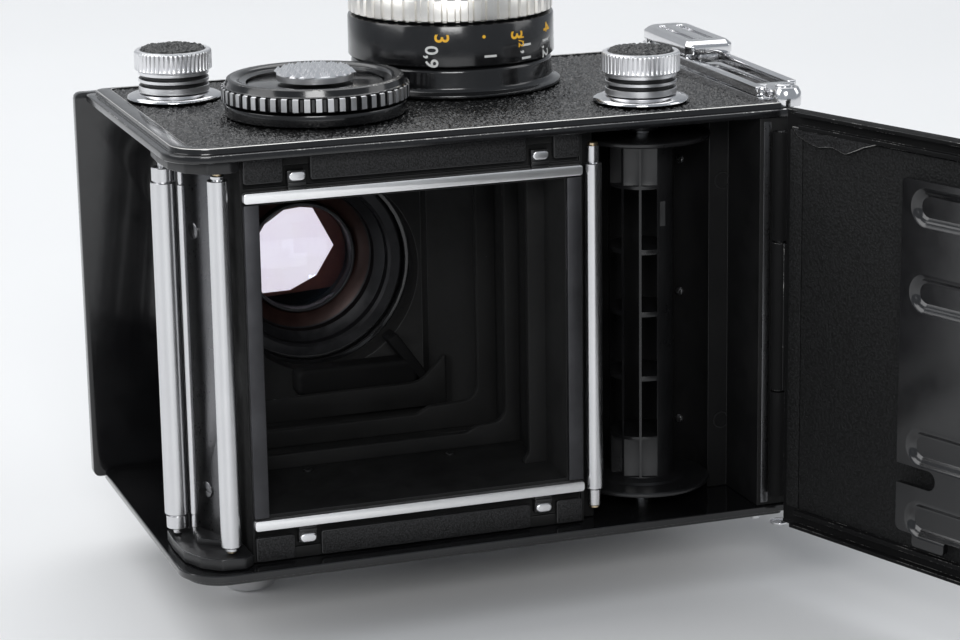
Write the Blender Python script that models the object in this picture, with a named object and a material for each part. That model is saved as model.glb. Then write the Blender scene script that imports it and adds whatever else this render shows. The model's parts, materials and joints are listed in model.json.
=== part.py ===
"""Twin lens reflex camera lying on its crank side with the back open.

World axes: +X is the camera's top, +Y the camera's front (lens side), +Z its left side.
Shapes are written in body millimetres: x from the base end, y from the rear face,
z from the middle of the camera's width. place() turns them into world metres.
"""

import math

import bmesh
import bpy
from mathutils import Matrix, Vector

# ---- driving dimensions, millimetres and degrees -------------------------------------
X_MID = 71.39           # body x that lands on world x = 0
Y_MID = -17.99          # body y that lands on world y = 0
FLOOR = 50.6            # height of the body's middle above the floor
OPEN_ANGLE = 109.0      # how far the back stands open at rest
TOP_X = 122.0           # top end of the side plates
FRONT_Y = 68.0          # front edge of the side plates
HALF_IN = 36.0          # inner face of a side plate
HALF_LEDGE = 37.3       # ledge the back closes over
HALF_LIP = 38.3         # raised rim around the leather
CORNER = 8.0            # rounding of the base rear corner
HINGE = (109.9, -0.9)   # hinge axis
GATE_X = (15.2, 71.1)   # film gate opening
GATE_Z = 27.4
GATE_Y = 4.6            # rear face of the gate wall
RAIL_Z = 28.9
LENS_X = 43.15          # taking lens axis
VIEW_X = 85.15          # viewing lens axis
SPOOL = (89.6, 14.6)
SUPPLY = (13.3, 51.8)
DIAL = (32.9, 27.3)
FOCUS = (65.2, 47.7)
CRANK = (67.0, 46.5)
CRANK_TIP = (19.5, 34.5)
CHAMBER_R = 13.2
GAP = 0.3
MM = 0.001

MATERIALS = {
    "black_enamel": ((0.012, 0.012, 0.013), 0.0, 0.25),
    "black_matt": ((0.015, 0.015, 0.016), 0.0, 0.8),
    "leather": ((0.02, 0.02, 0.021), 0.0, 0.6),
    "chrome": ((0.75, 0.75, 0.76), 1.0, 0.15),
    "steel": ((0.62, 0.62, 0.63), 1.0, 0.3),
    "grey_metal": ((0.2, 0.2, 0.21), 1.0, 0.4),
    "plastic": ((0.02, 0.02, 0.022), 0.0, 0.35),
    "glass": ((0.55, 0.5, 0.65), 0.0, 0.03),
    "mirror": ((0.85, 0.86, 0.87), 1.0, 0.03),
    "screen": ((0.75, 0.76, 0.76), 0.0, 0.35),
}


def clear_scene():
    for old in list(bpy.data.objects):
        bpy.data.objects.remove(old, do_unlink=True)


def material(key):
    name = "mat_" + key
    found = bpy.data.materials.get(name)
    if found:
        return found
    colour, metallic, rough = MATERIALS[key]
    mat = bpy.data.materials.new(name)
    mat.use_nodes = True
    shader = mat.node_tree.nodes["Principled BSDF"]
    shader.inputs["Base Color"].default_value = (*colour, 1.0)
    shader.inputs["Metallic"].default_value = metallic
    shader.inputs["Roughness"].default_value = rough
    return mat


def place(x, y, z):
    return Vector(((x - X_MID) * MM, (y - Y_MID) * MM, (z + FLOOR) * MM))


def make(name, bm, key, pivot=(X_MID, Y_MID, 0.0)):
    """A named object from a bmesh drawn in body millimetres, its origin at pivot."""
    bmesh.ops.remove_doubles(bm, verts=bm.verts, dist=0.0005)
    bmesh.ops.recalc_face_normals(bm, faces=bm.faces)
    origin = place(*pivot)
    for v in bm.verts:
        v.co = place(*v.co) - origin
    mesh = bpy.data.meshes.new(name)
    bm.to_mesh(mesh)
    bm.free()
    obj = bpy.data.objects.new(name, mesh)
    obj.location = origin
    bpy.context.collection.objects.link(obj)
    if key:
        mesh.materials.append(material(key))
    return obj


def boolean(obj, cutter, kind="DIFFERENCE"):
    mod = obj.modifiers.new(kind.lower(), "BOOLEAN")
    mod.operation = kind
    mod.solver = "EXACT"
    mod.object = cutter
    cutter.hide_render = True
    cutter.display_type = "WIRE"
    bpy.context.view_layer.update()
    graph = bpy.context.evaluated_depsgraph_get()
    mesh = bpy.data.meshes.new_from_object(obj.evaluated_get(graph))
    obj.modifiers.clear()
    obj.data = mesh
    bpy.data.objects.remove(cutter, do_unlink=True)
    return obj


def cut(obj, *cutters):
    for c in cutters:
        boolean(obj, c, "DIFFERENCE")
    return obj


def join(obj, *others):
    for c in others:
        boolean(obj, c, "UNION")
    return obj


def frame_of(axis):
    """Unit vectors (a, b, n): n is the extrusion axis, a x b = n."""
    if axis == "z":
        return Vector((1, 0, 0)), Vector((0, 1, 0)), Vector((0, 0, 1))
    if axis == "y":
        return Vector((0, 0, 1)), Vector((1, 0, 0)), Vector((0, 1, 0))
    return Vector((0, 1, 0)), Vector((0, 0, 1)), Vector((1, 0, 0))


def at(axis, u, v, h):
    """Body point from in-plane (u, v) and height h. Plane order: z:(x,y) y:(x,z) x:(y,z)."""
    if axis == "z":
        return Vector((u, v, h))
    if axis == "y":
        return Vector((u, h, v))
    return Vector((h, u, v))


def prism_bm(outline, h0, h1, axis="z", scale_top=None):
    bm = bmesh.new()
    low = [bm.verts.new(at(axis, u, v, h0)) for u, v in outline]
    high = [bm.verts.new(at(axis, u, v, h1)) for u, v in (scale_top or outline)]
    count = len(outline)
    bm.faces.new(low)
    bm.faces.new(high)
    for i in range(count):
        j = (i + 1) % count
        bm.faces.new((low[i], low[j], high[j], high[i]))
    return bm


def prism(name, outline, h0, h1, key, axis="z", pivot=(X_MID, Y_MID, 0.0), top=None):
    return make(name, prism_bm(outline, h0, h1, axis, top), key, pivot)


def rect(u0, u1, v0, v1):
    return [(u0, v0), (u1, v0), (u1, v1), (u0, v1)]


def box(name, xs, ys, zs, key=None, pivot=(X_MID, Y_MID, 0.0)):
    return prism(name, rect(*xs, *ys), zs[0], zs[1], key, "z", pivot)


def circle(cu, cv, r, count, start=0.0):
    step = 2.0 * math.pi / count
    return [(cu + r * math.cos(start + step * i), cv + r * math.sin(start + step * i))
            for i in range(count)]


def round_poly(points, steps=4):
    """Outline from (u, v, radius) corners, each corner turned into a short arc."""
    out = []
    count = len(points)
    for i, (u, v, r) in enumerate(points):
        if r <= 0.0:
            out.append((u, v))
            continue
        here = Vector((u, v))
        before = (Vector(points[i - 1][:2]) - here).normalized()
        after = (Vector(points[(i + 1) % count][:2]) - here).normalized()
        half = before.angle(after) / 2.0
        reach = r / math.tan(half)
        p0 = here + before * reach
        p1 = here + after * reach
        centre = here + (before + after).normalized() * (r / math.sin(half))
        a0 = math.atan2(p0.y - centre.y, p0.x - centre.x)
        a1 = math.atan2(p1.y - centre.y, p1.x - centre.x)
        turn = (a1 - a0 + math.pi) % (2.0 * math.pi) - math.pi
        for k in range(steps + 1):
            a = a0 + turn * k / steps
            out.append((centre.x + r * math.cos(a), centre.y + r * math.sin(a)))
    return out


def rounded(u0, u1, v0, v1, r, steps=4):
    return round_poly([(u0, v0, r), (u1, v0, r), (u1, v1, r), (u0, v1, r)], steps)


def lathe_bm(profile, centre, axis="z", count=32, teeth=None):
    """Turned body. profile: (radius, height[, toothed]) from axis or round a ring.

    An open profile begins and ends on the axis; otherwise it is closed on itself.
    teeth = (number, depth): toothed points drop by depth at every second step.
    """
    bm = bmesh.new()
    if teeth:
        count = teeth[0] * 2
    rows = []
    for point in profile:
        r, h = point[0], point[1]
        toothed = len(point) > 2 and point[2]
        if r < 1e-6:
            rows.append([bm.verts.new(at(axis, centre[0], centre[1], h))])
            continue
        row = []
        for i in range(count):
            a = 2.0 * math.pi * i / count
            rr = r - teeth[1] if toothed and teeth and i % 2 else r
            u = centre[0] + rr * math.cos(a)
            v = centre[1] + rr * math.sin(a)
            row.append(bm.verts.new(at(axis, u, v, h)))
        rows.append(row)
    closed = len(rows[0]) > 1
    pairs = list(zip(rows, rows[1:]))
    if closed:
        pairs.append((rows[-1], rows[0]))
    for r0, r1 in pairs:
        for i in range(count):
            j = (i + 1) % count
            if len(r0) == 1:
                bm.faces.new((r0[0], r1[i], r1[j]))
            elif len(r1) == 1:
                bm.faces.new((r0[i], r0[j], r1[0]))
            else:
                bm.faces.new((r0[i], r0[j], r1[j], r1[i]))
    return bm


def lathe(name, profile, centre, key, axis="z", count=32, teeth=None, pivot=None):
    mid = profile[0][1]
    pivot = pivot or tuple(at(axis, centre[0], centre[1], mid))
    return make(name, lathe_bm(profile, centre, axis, count, teeth), key, pivot)


def disc(name, centre, r, h0, h1, axis="z", count=24, key=None):
    return prism(name, circle(*centre, r, count), h0, h1, key, axis)


def rod(r, h0, h1):
    return [(0, h0), (r, h0), (r, h1), (0, h1)]


# ---- side plates ---------------------------------------------------------------------
def plate_outline(inset, base=None):
    """Side plate outline drawn in by inset, and by base at the base end."""
    base = inset if base is None else base
    return round_poly([
        (base, inset, CORNER - inset),
        (112.8 - inset * 0.6, inset, 1.0),
        (TOP_X - inset, 19.8 + inset * 0.4, 3.0),
        (TOP_X - inset, FRONT_Y - inset, 2.0),
        (base, FRONT_Y - inset, 2.0),
    ], 5)


def side_plate(name, side, holes):
    low, high = sorted((side * HALF_IN, side * HALF_LEDGE))
    plate = prism(name, plate_outline(0.0), low, high, "black_enamel")
    lip_in, lip_out = sorted((side * (HALF_LEDGE - 0.6), side * HALF_LIP))
    raised = prism("raised", plate_outline(1.5), lip_in, lip_out, None)
    join(plate, raised)
    floor_z, above = sorted((side * (HALF_LIP - 0.8), side * (HALF_LIP + 1.0)))
    cut(plate, prism("recess", plate_outline(2.2, 4.4), floor_z, above, None))
    seat_z, above = sorted((side * LUG_LOW, side * (HALF_LIP + 1.0)))
    cut(plate, prism("lug_seat", lug_outline(0.4), seat_z, above, None))
    for centre, r in holes:
        cut(plate, disc("bore", centre, r, -HALF_LIP * 2, HALF_LIP * 2))
    return plate


def side_leather(name, side, holes):
    low, high = sorted((side * (HALF_LIP - 0.75), side * (HALF_LIP - 0.05)))
    panel = prism(name, plate_outline(2.45, 4.65), low, high, "leather")
    cut(panel, prism("lug_seat", lug_outline(0.4), low - 1.0, high + 1.0, None))
    for centre, r in holes:
        cut(panel, disc("bore", centre, r, -HALF_LIP * 2, HALF_LIP * 2))
    return panel


def build_sides():
    left = [(SUPPLY, 2.4), (SPOOL, 2.4)]
    side_plate("side_plate_left", 1, left)
    side_leather("side_leather_left", 1, left)
    right = [(SPOOL, 2.4)]
    side_plate("side_plate_right", -1, right)
    side_leather("side_leather_right", -1, right)


# ---- body casting --------------------------------------------------------------------
MIRROR_SUM = 126.5      # the mirror lies on the line x + y = MIRROR_SUM
CAST_Z = HALF_IN - 0.15
STEPS = [
    (4.0, 15.0, 15.2, 71.1, 27.4),
    (14.9, 27.0, 18.2, 68.6, 25.4),
    (26.9, 39.0, 21.6, 66.0, 23.4),
    (38.9, 64.0, 28.2, 62.4, 20.4),
]


def build_casting():
    outer = [
        (12.7, GATE_Y), (74.3, GATE_Y), (74.3, 6.5), (90.0, 6.5), (90.0, 0.6),
        (111.8, 0.6), (121.4, 5.4), (121.4, 67.8), (12.7, 67.8),
    ]
    body = prism("body_casting", outer, -CAST_Z, CAST_Z, "black_matt")
    for y0, y1, x0, x1, half in STEPS:
        cut(body, box("step", (x0, x1), (y0, y1), (-half, half)))
    cut(body, disc("lens_port", (LENS_X, 0.0), 15.5, 62.0, 69.0, "y", 40))
    cut(body, disc("supply", SUPPLY, 13.3, -50.0, 50.0, "z", 40))
    cut(body, box("supply_front", (0.0, 26.4), (52.0, 70.0), (-50.0, 50.0)))
    cut(body, disc("takeup", SPOOL, CHAMBER_R, -50.0, 50.0, "z", 44))
    cut(body, box("takeup_open", (76.9, 106.6), (-2.0, 14.2), (-50.0, 50.0)))
    s = MIRROR_SUM - 1.8
    well = [(64.4, s - 64.4), (108.0, s - 108.0), (118.0, 12.2),
            (124.0, 12.2), (124.0, 65.6), (64.4, 65.6)]
    cut(body, prism("well", well, -25.5, 25.5, None))
    cut(body, disc("view_port", (VIEW_X, 0.0), 14.0, 64.0, 69.0, "y", 40))
    slope = [(112.3, -1.0), (121.6, 20.4), (125.0, 20.4), (125.0, -1.0)]
    for sign in (-1, 1):
        z0, z1 = sorted((sign * 30.0, sign * 40.0))
        cut(body, prism("shoulder", slope, z0, z1, None))
        z0, z1 = sorted((sign * 30.3, sign * 33.9))
        cut(body, box("edge_groove", (13.2, 73.8), (4.0, 5.4), (z0, z1)))


def build_gate():
    for tag, sign in (("left", 1), ("right", -1)):
        z0, z1 = sorted((sign * 28.0, sign * 29.8))
        box("film_rail_" + tag, (12.9, 73.9), (3.1, GATE_Y - 0.02), (z0, z1), "steel")
    low, high = -27.7, 27.7
    box("gate_bar_base", (12.9, 15.6), (3.5, GATE_Y - 0.02), (low, high), "grey_metal")
    box("gate_bar_top", (71.1, 73.8), (3.5, GATE_Y - 0.02), (low, high), "grey_metal")


def build_film_clips():
    for i, (x, sign) in enumerate(((22.4, 1), (66.2, 1), (22.4, -1), (66.2, -1)), 1):
        body = prism("film_clip_%d" % i, rounded(x - 1.5, x + 1.5, 3.2, 5.3, 0.4, 2),
                     sign * 32.1 - 1.6, sign * 32.1 + 1.6, "chrome")
        join(body, disc("stem", (x, sign * 32.1), 0.7, 2.5, 3.6, "y", 12))


# ---- rollers and their brackets ------------------------------------------------------
FEEL_OUT = (2.9, 19.0)
FEEL_IN = (5.4, 16.6)
GUIDE_BASE = (8.9, 4.8)
GUIDE_TOP = (76.3, 4.6)


def roller(name, centre, r, half, neck, neck_half, pin, pin_half, key="steel"):
    profile = [
        (0, -pin_half), (pin, -pin_half), (pin, -neck_half), (neck, -neck_half),
        (neck, -half), (r, -half), (r, half), (neck, half),
        (neck, neck_half), (pin, neck_half), (pin, pin_half), (0, pin_half),
    ]
    lathe(name, profile, centre, key, count=16, pivot=(centre[0], centre[1], 0.0))


def build_rollers():
    roller("feeler_roller_outer", FEEL_OUT, 2.2, 29.6, 1.6, 32.0, 0.8, 33.5)
    roller("feeler_roller_inner", FEEL_IN, 0.65, 29.6, 0.55, 32.0, 0.4, 33.5)
    roller("guide_roller_base", GUIDE_BASE, 1.8, 32.5, 1.2, 33.0, 0.8, 33.5)
    roller("guide_roller_top", GUIDE_TOP, 1.45, 29.8, 1.0, 32.4, 0.7, 33.5)


def build_brackets():
    shape = [(1.6, 22.5), (1.3, 16.5), (1.6, 9.5), (3.4, 5.0), (6.4, 2.2),
             (10.6, 1.8), (12.4, 3.2), (12.4, 12.0), (11.4, 14.0), (8.6, 22.5)]
    plate = box("roller_bracket", (10.3, 11.7), (8.3, 13.6), (-34.5, 34.5), "black_matt")
    for z in (-22.0, 0.0, 22.0):
        slot = rounded(9.6, 12.3, z - 5.0, z + 5.0, 1.3, 3)
        cut(plate, prism("oval", slot, 9.0, 13.0, None, "x"))
    for sign in (-1, 1):
        z0, z1 = sorted((sign * 33.8, sign * 35.8))
        join(plate, prism("arm", shape, z0, z1, None))


# ---- take-up spool -------------------------------------------------------------------
def build_spool():
    r_core, r_flange, half = 6.2, 12.4, 32.6
    profile = [
        (2.7, -half), (r_flange, -half), (r_flange, -half + 0.9), (r_core, -half + 0.9),
        (r_core, half - 0.9), (r_flange, half - 0.9), (r_flange, half), (2.7, half),
        (2.7, half - 4.0), (0, half - 4.0),
    ]
    profile = [(0, -half + 4.0), (2.7, -half + 4.0)] + profile
    spool = lathe("takeup_spool", profile, SPOOL, "plastic", count=32,
                  pivot=(SPOOL[0], SPOOL[1], 0.0))
    x, y = SPOOL
    for z0, z1 in ((-23.5, -8.5), (-7.3, 7.3), (8.5, 23.5)):
        cut(spool, box("slot_a", (x - 5.0, x - 1.0), (y - 9.0, y + 9.0), (z0, z1)),
            box("slot_b", (x + 1.0, x + 5.0), (y - 9.0, y + 9.0), (z0, z1)))
    key = lathe("takeup_drive_key", rod(2.1, -HALF_LIP - 1.0, -half - 0.2), SPOOL,
                "steel", count=20, pivot=(SPOOL[0], SPOOL[1], 0.0))
    join(key, box("blade", (x - 1.9, x + 1.9), (y - 0.6, y + 0.6), (-half - 1.0, -half + 3.6)))


# ---- spool knobs on the left side ----------------------------------------------------
def build_knob(tag, centre, pin_low):
    z = HALF_LIP
    wash = [(2.6, z + 0.02), (8.65, z + 0.02), (8.3, z + 0.7), (7.2, z + 1.1), (2.6, z + 1.1)]
    lathe(tag + "_washer", wash, centre, "chrome", count=32)
    base = z + 1.3
    profile = [
        (0, pin_low), (2.0, pin_low), (2.0, base), (6.4, base), (6.4, base + 1.3),
        (6.1, base + 1.4), (6.1, base + 2.1), (6.4, base + 2.2), (6.4, base + 2.8),
        (6.1, base + 2.9), (6.1, base + 3.7), (7.0, base + 3.9, True),
        (7.0, base + 7.2, True), (6.5, base + 7.6), (0, base + 7.6),
    ]
    lathe(tag, profile, centre, "chrome", teeth=(18, 0.3),
          pivot=(centre[0], centre[1], z))
    cap = [(0, base + 7.65), (5.8, base + 7.65), (5.8, base + 7.9), (4.5, base + 8.15),
           (0, base + 8.2)]
    lathe(tag + "_cap", cap, centre, "leather", count=24,
          pivot=(centre[0], centre[1], z))


def build_knobs():
    build_knob("supply_knob", SUPPLY, 29.5)
    build_knob("takeup_knob", SPOOL, 29.5)


# ---- ribbed dial ---------------------------------------------------------------------
def build_dial():
    z = HALF_LIP + 0.2
    base = [
        (0, z - 0.18), (16.0, z - 0.18), (16.0, z + 1.9), (12.0, z + 2.1), (12.0, z + 5.6),
        (0, z + 5.6),
    ]
    lathe("dial_base", base, DIAL, "black_enamel", count=48)
    ring = [
        (12.3, z + 2.4), (16.6, z + 2.4, True), (16.6, z + 4.9, True),
        (15.5, z + 5.2), (15.0, z + 6.3), (12.3, z + 6.3),
    ]
    lathe("dial_ring", ring, DIAL, "black_enamel", teeth=(51, 0.5),
          pivot=(DIAL[0], DIAL[1], z))
    knob = [(0, z + 5.9), (6.2, z + 5.9, True), (6.2, z + 7.3, True), (5.6, z + 7.8),
            (2.5, z + 8.2), (0, z + 8.3)]
    lathe("dial_knob", knob, DIAL, "chrome", teeth=(20, 0.35),
          pivot=(DIAL[0], DIAL[1], z))


# ---- focusing knob -------------------------------------------------------------------
def build_focus():
    z = HALF_LIP
    base = [(0, z + 0.02), (20.3, z + 0.02), (20.3, z + 0.9), (19.4, z + 1.5), (18.6, z + 5.2),
            (0, z + 5.2)]
    lathe("focus_base", base, FOCUS, "black_enamel", count=48)
    barrel = [(0, z + 5.5), (19.1, z + 5.5), (19.1, z + 13.0), (18.0, z + 13.4), (0, z + 13.4)]
    lathe("focus_barrel", barrel, FOCUS, "black_enamel", count=64,
          pivot=(FOCUS[0], FOCUS[1], z))
    grip = [(0, z + 13.5), (18.2, z + 13.5), (18.9, z + 13.9, True), (18.9, z + 17.6, True),
            (17.6, z + 18.4), (16.0, z + 18.4), (16.0, z + 17.8), (0, z + 17.8)]
    lathe("focus_grip", grip, FOCUS, "chrome", teeth=(49, 0.6),
          pivot=(FOCUS[0], FOCUS[1], z))


# ---- strap lugs ----------------------------------------------------------------------
LUG_X = (109.6, 119.2)
LUG_EAR = (113.6, 115.2)
LUG_LOW = 37.4              # |z| of the lug's seat, sunk into the side plate
CLIP_PIVOT = (6.6, 39.4)    # y and |z| of the clip's pin
CLIP_BLOCK = (-0.3, 1.5)     # the block's faces from the pin plane
CLIP_REST = 0.8             # a folded clip's slant, in degrees


def lug_outline(off):
    x0, x1 = LUG_X
    return round_poly([(x0 - off, 4.6 - off, 1.0), (x0 + 5.4 + off * 0.6, 4.6 - off, 1.0),
                       (x1 + off, 15.0 - off * 0.4, 1.0), (x1 + off, 44.0 + off, 2.0),
                       (x0 - off, 44.0 + off, 2.0)], 4)


def build_lug(tag, sign):
    x0, x1 = LUG_X
    z0, z1 = sorted((sign * (LUG_LOW + 0.05), sign * (LUG_LOW + 1.2)))
    lug = prism("strap_lug_" + tag, lug_outline(0.0), z0, z1, "chrome")
    z2, z3 = sorted((sign * HALF_LEDGE, sign * (HALF_LIP + 3.0)))
    cut(lug, box("window", (x0 + 2.2, x1 - 2.2), (14.0, 38.0), (z2, z3)))
    y0, pz = CLIP_PIVOT
    ear0, ear1 = sorted((sign * (LUG_LOW + 0.6), sign * (pz + 0.9)))
    for a, b in ((x0 + 0.2, x0 + 1.8), (LUG_EAR[0], LUG_EAR[1])):
        join(lug, box("ear", (a, b), (y0 - 1.4, y0 + 1.6), (ear0, ear1)))
    return lug


def clip_bm(sign, lift):
    """Slotted clip: a flat frame from the pin forward, turned outward by lift degrees."""
    y0, pz = CLIP_PIVOT
    x0, x1 = LUG_X
    arm = [(x0 + 2.1, y0 - 0.6), (LUG_EAR[0] - 0.3, y0 - 0.6), (LUG_EAR[0] - 0.3, 9.4),
           (x1 - 2.4, 17.0), (x1 - 2.4, 45.0), (x0 + 2.1, 45.0)]
    block = [(x1 - 1.0, 40.0), (x1, 42.0), (x1, 62.0), (x1 - 1.6, 63.6),
             (x0 + 1.6, 63.6), (x0, 62.0), (x0, 42.0), (x0 + 1.0, 40.0)]
    low, high = CLIP_BLOCK
    parts = (prism_bm(arm, sign * (pz - 0.6), sign * (pz + 0.4)),
             prism_bm(block, sign * (pz + low), sign * (pz + high)))
    for bm in parts:
        turn_clip(bm, sign, lift)
    return parts


def turn_clip(bm, sign, lift):
    pivot = Vector((0.0, CLIP_PIVOT[0], sign * CLIP_PIVOT[1]))
    turn = Matrix.Rotation(math.radians(sign * lift), 4, "X")
    for v in bm.verts:
        v.co = pivot + turn @ (v.co - pivot)


def build_clip(tag, sign):
    y0, pz = CLIP_PIVOT
    pivot = (sum(LUG_X) / 2.0, y0, sign * pz)
    arm, block = clip_bm(sign, CLIP_REST)
    clip = make("strap_clip_" + tag, arm, "chrome", pivot)
    join(clip, make("block", block, None))
    slots = (rect(111.3, 113.5, 44.0, 60.0), rect(115.3, 117.5, 44.0, 60.0),
             rect(113.0, 115.4, 19.0, 38.0))
    for outline in slots:
        bm = prism_bm(outline, sign * (pz - 4.0), sign * (pz + 4.0))
        turn_clip(bm, sign, CLIP_REST)
        cut(clip, make("slot", bm, None))
    return clip


def build_lugs():
    build_lug("left", 1)
    build_lug("right", -1)
    build_clip("left", 1)
    build_clip("right", -1)


# ---- film crank on the right side ----------------------------------------------------
def build_crank():
    z = -HALF_LIP
    hub = [(0, z - 0.02), (17.0, z - 0.02), (17.0, z - 2.6), (16.0, z - 3.4), (5.0, z - 3.4),
           (5.0, z - 4.6), (0, z - 4.6)]
    lathe("crank_hub", hub[::-1], CRANK, "black_enamel", count=40)
    cx, cy = CRANK
    tx, ty = CRANK_TIP
    boss = [(0, z - 4.9), (12.8, z - 4.9), (12.8, z - 10.4), (11.5, -FLOOR), (0, -FLOOR)]
    arm = lathe("crank_arm", boss, CRANK, "chrome", count=36, pivot=(cx, cy, z))
    side = Vector((ty - cy, cx - tx)).normalized()
    strip = [(cx + side.x * 4.6, cy + side.y * 4.6), (tx + side.x * 3.0, ty + side.y * 3.0),
             (tx - 1.6, ty + 2.2), (tx - 3.0, ty), (tx - 1.6, ty - 2.2),
             (tx - side.x * 3.0, ty - side.y * 3.0), (cx - side.x * 4.6, cy - side.y * 4.6)]
    join(arm, prism("strip", strip, z - 7.4, z - 5.2, None))
    grip = [(0, z - 7.7), (4.6, z - 7.7), (5.2, z - 8.6), (4.9, -FLOOR + 0.6),
            (4.2, -FLOOR), (0, -FLOOR)]
    lathe("crank_handle", grip, (tx, ty), "chrome", count=20, pivot=(tx, ty, z))


# ---- front: wall, moving lens board, lenses ------------------------------------------
FRONT = (68.3, 70.4)
BOARD = (74.5, 79.0)
RELEASE = (22.5, -22.0)


def build_front():
    wall = prism("front_plate", rounded(-1.7, TOP_X, -HALF_LEDGE, HALF_LEDGE, 1.2, 3),
                 FRONT[0], FRONT[1], "black_enamel", "y")
    cut(wall, disc("taking_hole", (LENS_X, 0.0), 18.9, 60.0, 80.0, "y", 40))
    cut(wall, disc("viewing_hole", (VIEW_X, 0.0), 16.0, 60.0, 80.0, "y", 40))
    board = prism("lens_board", rounded(16.0, 114.0, -29.0, 29.0, 9.0, 6),
                  BOARD[0], BOARD[1], "leather", "y")
    cut(board, disc("taking_hole", (LENS_X, 0.0), 21.0, 60.0, 90.0, "y", 40))
    cut(board, disc("viewing_hole", (VIEW_X, 0.0), 17.4, 60.0, 90.0, "y", 40))
    cut(board, disc("release_hole", RELEASE, 3.7, 60.0, 90.0, "y", 24))


def build_lenses():
    c = (LENS_X, 0.0)
    barrel = [
        (18.0, 70.3), (18.6, 70.3), (18.6, 74.0), (20.8, 74.8), (20.8, 84.0), (19.6, 84.6),
        (17.2, 85.0), (17.2, 92.0), (16.2, 92.6), (14.6, 92.6), (12.4, 88.0), (12.4, 82.0),
        (11.2, 80.0), (11.2, 78.0), (16.0, 75.0),
    ]
    lathe("taking_lens_barrel", barrel[::-1], c, "chrome", "y", 36)
    rear = [(8.6, 77.7), (10.9, 77.9), (10.9, 80.0), (9.0, 81.0), (8.6, 81.0)]
    lathe("taking_lens_rear_cell", rear, c, "chrome", "y", 32)
    glass = [(0, 77.4), (4.5, 77.8), (8.4, 78.9), (8.4, 80.6), (0, 80.6)]
    lathe("taking_lens_rear_glass", glass, c, "glass", "y", 28)
    front = [(0, 84.0), (12.2, 84.0), (12.2, 86.4), (7.0, 88.2), (0, 88.9)]
    lathe("taking_lens_front_glass", front, c, "glass", "y", 28)
    v = (VIEW_X, 0.0)
    view = [
        (12.6, 73.0), (15.6, 73.0), (17.2, 74.8), (17.2, 82.0), (16.4, 82.6), (16.4, 91.0),
        (15.6, 91.6), (14.2, 91.6), (12.6, 87.0),
    ]
    lathe("viewing_lens_barrel", view[::-1], v, "chrome", "y", 36)
    pane = [(0, 82.0), (12.4, 82.0), (12.4, 85.2), (7.0, 87.4), (0, 88.2)]
    lathe("viewing_lens_glass", pane, v, "glass", "y", 28)


def build_front_controls():
    for name, z in (("aperture_wheel", 22.2), ("shutter_wheel", -22.2)):
        wheel = [(0, 79.3), (5.6, 79.3), (5.6, 80.2, True), (5.6, 82.6, True), (4.8, 83.2),
                 (0, 83.2)]
        lathe(name, wheel, (64.15, z), "chrome", "y", teeth=(20, 0.35))
    button = [(0, 76.8), (3.4, 76.8), (3.4, 81.9), (2.8, 82.5), (0, 82.7)]
    lathe("release_button", button, RELEASE, "chrome", "y", 20)


# ---- viewing side: mirror, screen, hood ----------------------------------------------
LID_PIN = (126.6, 9.4)


def build_viewer():
    s = MIRROR_SUM
    x0, x1 = 66.0, 108.6
    t = 1.5
    outline = [(x0, s - x0), (x0 - t / 2, s - x0 - t / 2), (x1 - t / 2, s - x1 - t / 2),
               (x1, s - x1)]
    prism("mirror", outline, -25.0, 25.0, "mirror")
    box("focusing_screen", (119.0, 120.8), (12.6, 65.2), (-25.2, 25.2), "screen")
    hood = prism("hood_base", rounded(7.6, 67.6, -26.4, 26.4, 2.0), TOP_X + 0.1, 125.4,
                 "black_enamel", "x")
    cut(hood, box("window", (110.0, 130.0), (11.0, 64.2), (-23.0, 23.0)))
    for a, b in ((-20.0, -8.0), (8.0, 20.0)):
        join(hood, prism("knuckle", circle(*LID_PIN, 1.3, 16), a, b, None))
    cut(hood, box("knuckle_room", (124.4, 130.0), (7.0, 12.4), (-7.9, 7.9)))
    lid = prism("hood_lid", rounded(11.6, 66.8, -25.6, 25.6, 3.0), 125.8, 137.0,
                "black_enamel", "x")
    cut(lid, prism("hollow", rounded(13.2, 65.2, -24.0, 24.0, 1.6), 120.0, 135.6, None, "x"))
    join(lid, prism("lid_knuckle", circle(*LID_PIN, 1.3, 16), -7.6, 7.6, None))
    join(lid, box("lid_web", (126.0, 127.4), (9.6, 12.4), (-7.6, 7.6)))
    pivot = (*LID_PIN, 0.0)
    origin = place(*pivot)
    shift = lid.location - origin
    lid.data.transform(Matrix.Translation(shift))
    lid.location = origin


# ---- back door -----------------------------------------------------------------------
DOOR_OUT = 1.9
DOOR_IN = 0.3
DOOR_HALF = 38.1
BASE_LEN = 66.6


def door_outline(off):
    """L section of the back and base, offset outward from the body by off."""
    r = CORNER + off
    return [
        (107.6, -off, 0.0), (-off, -off, r), (-off, BASE_LEN, 0.0),
    ]


def door_shell_bm(off_in, off_out, z0, z1):
    outer = round_poly(door_outline(off_out), 6)
    inner = round_poly(door_outline(off_in), 6)
    return prism_bm(outer + inner[::-1], z0, z1)


def open_door(obj, pivot=None):
    """Turn a part drawn closed to the rest angle and put its origin on the hinge."""
    turn = Matrix.Rotation(math.radians(OPEN_ANGLE), 4, "Z")
    axis = place(HINGE[0], HINGE[1], 0.0)
    back = Matrix.Translation(axis) @ turn @ Matrix.Translation(-axis)
    obj.data.transform(Matrix.Translation(obj.location))
    obj.data.transform(back)
    origin = axis if pivot is None else back @ place(*pivot)
    obj.data.transform(Matrix.Translation(-origin))
    obj.location = origin
    return obj


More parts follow.
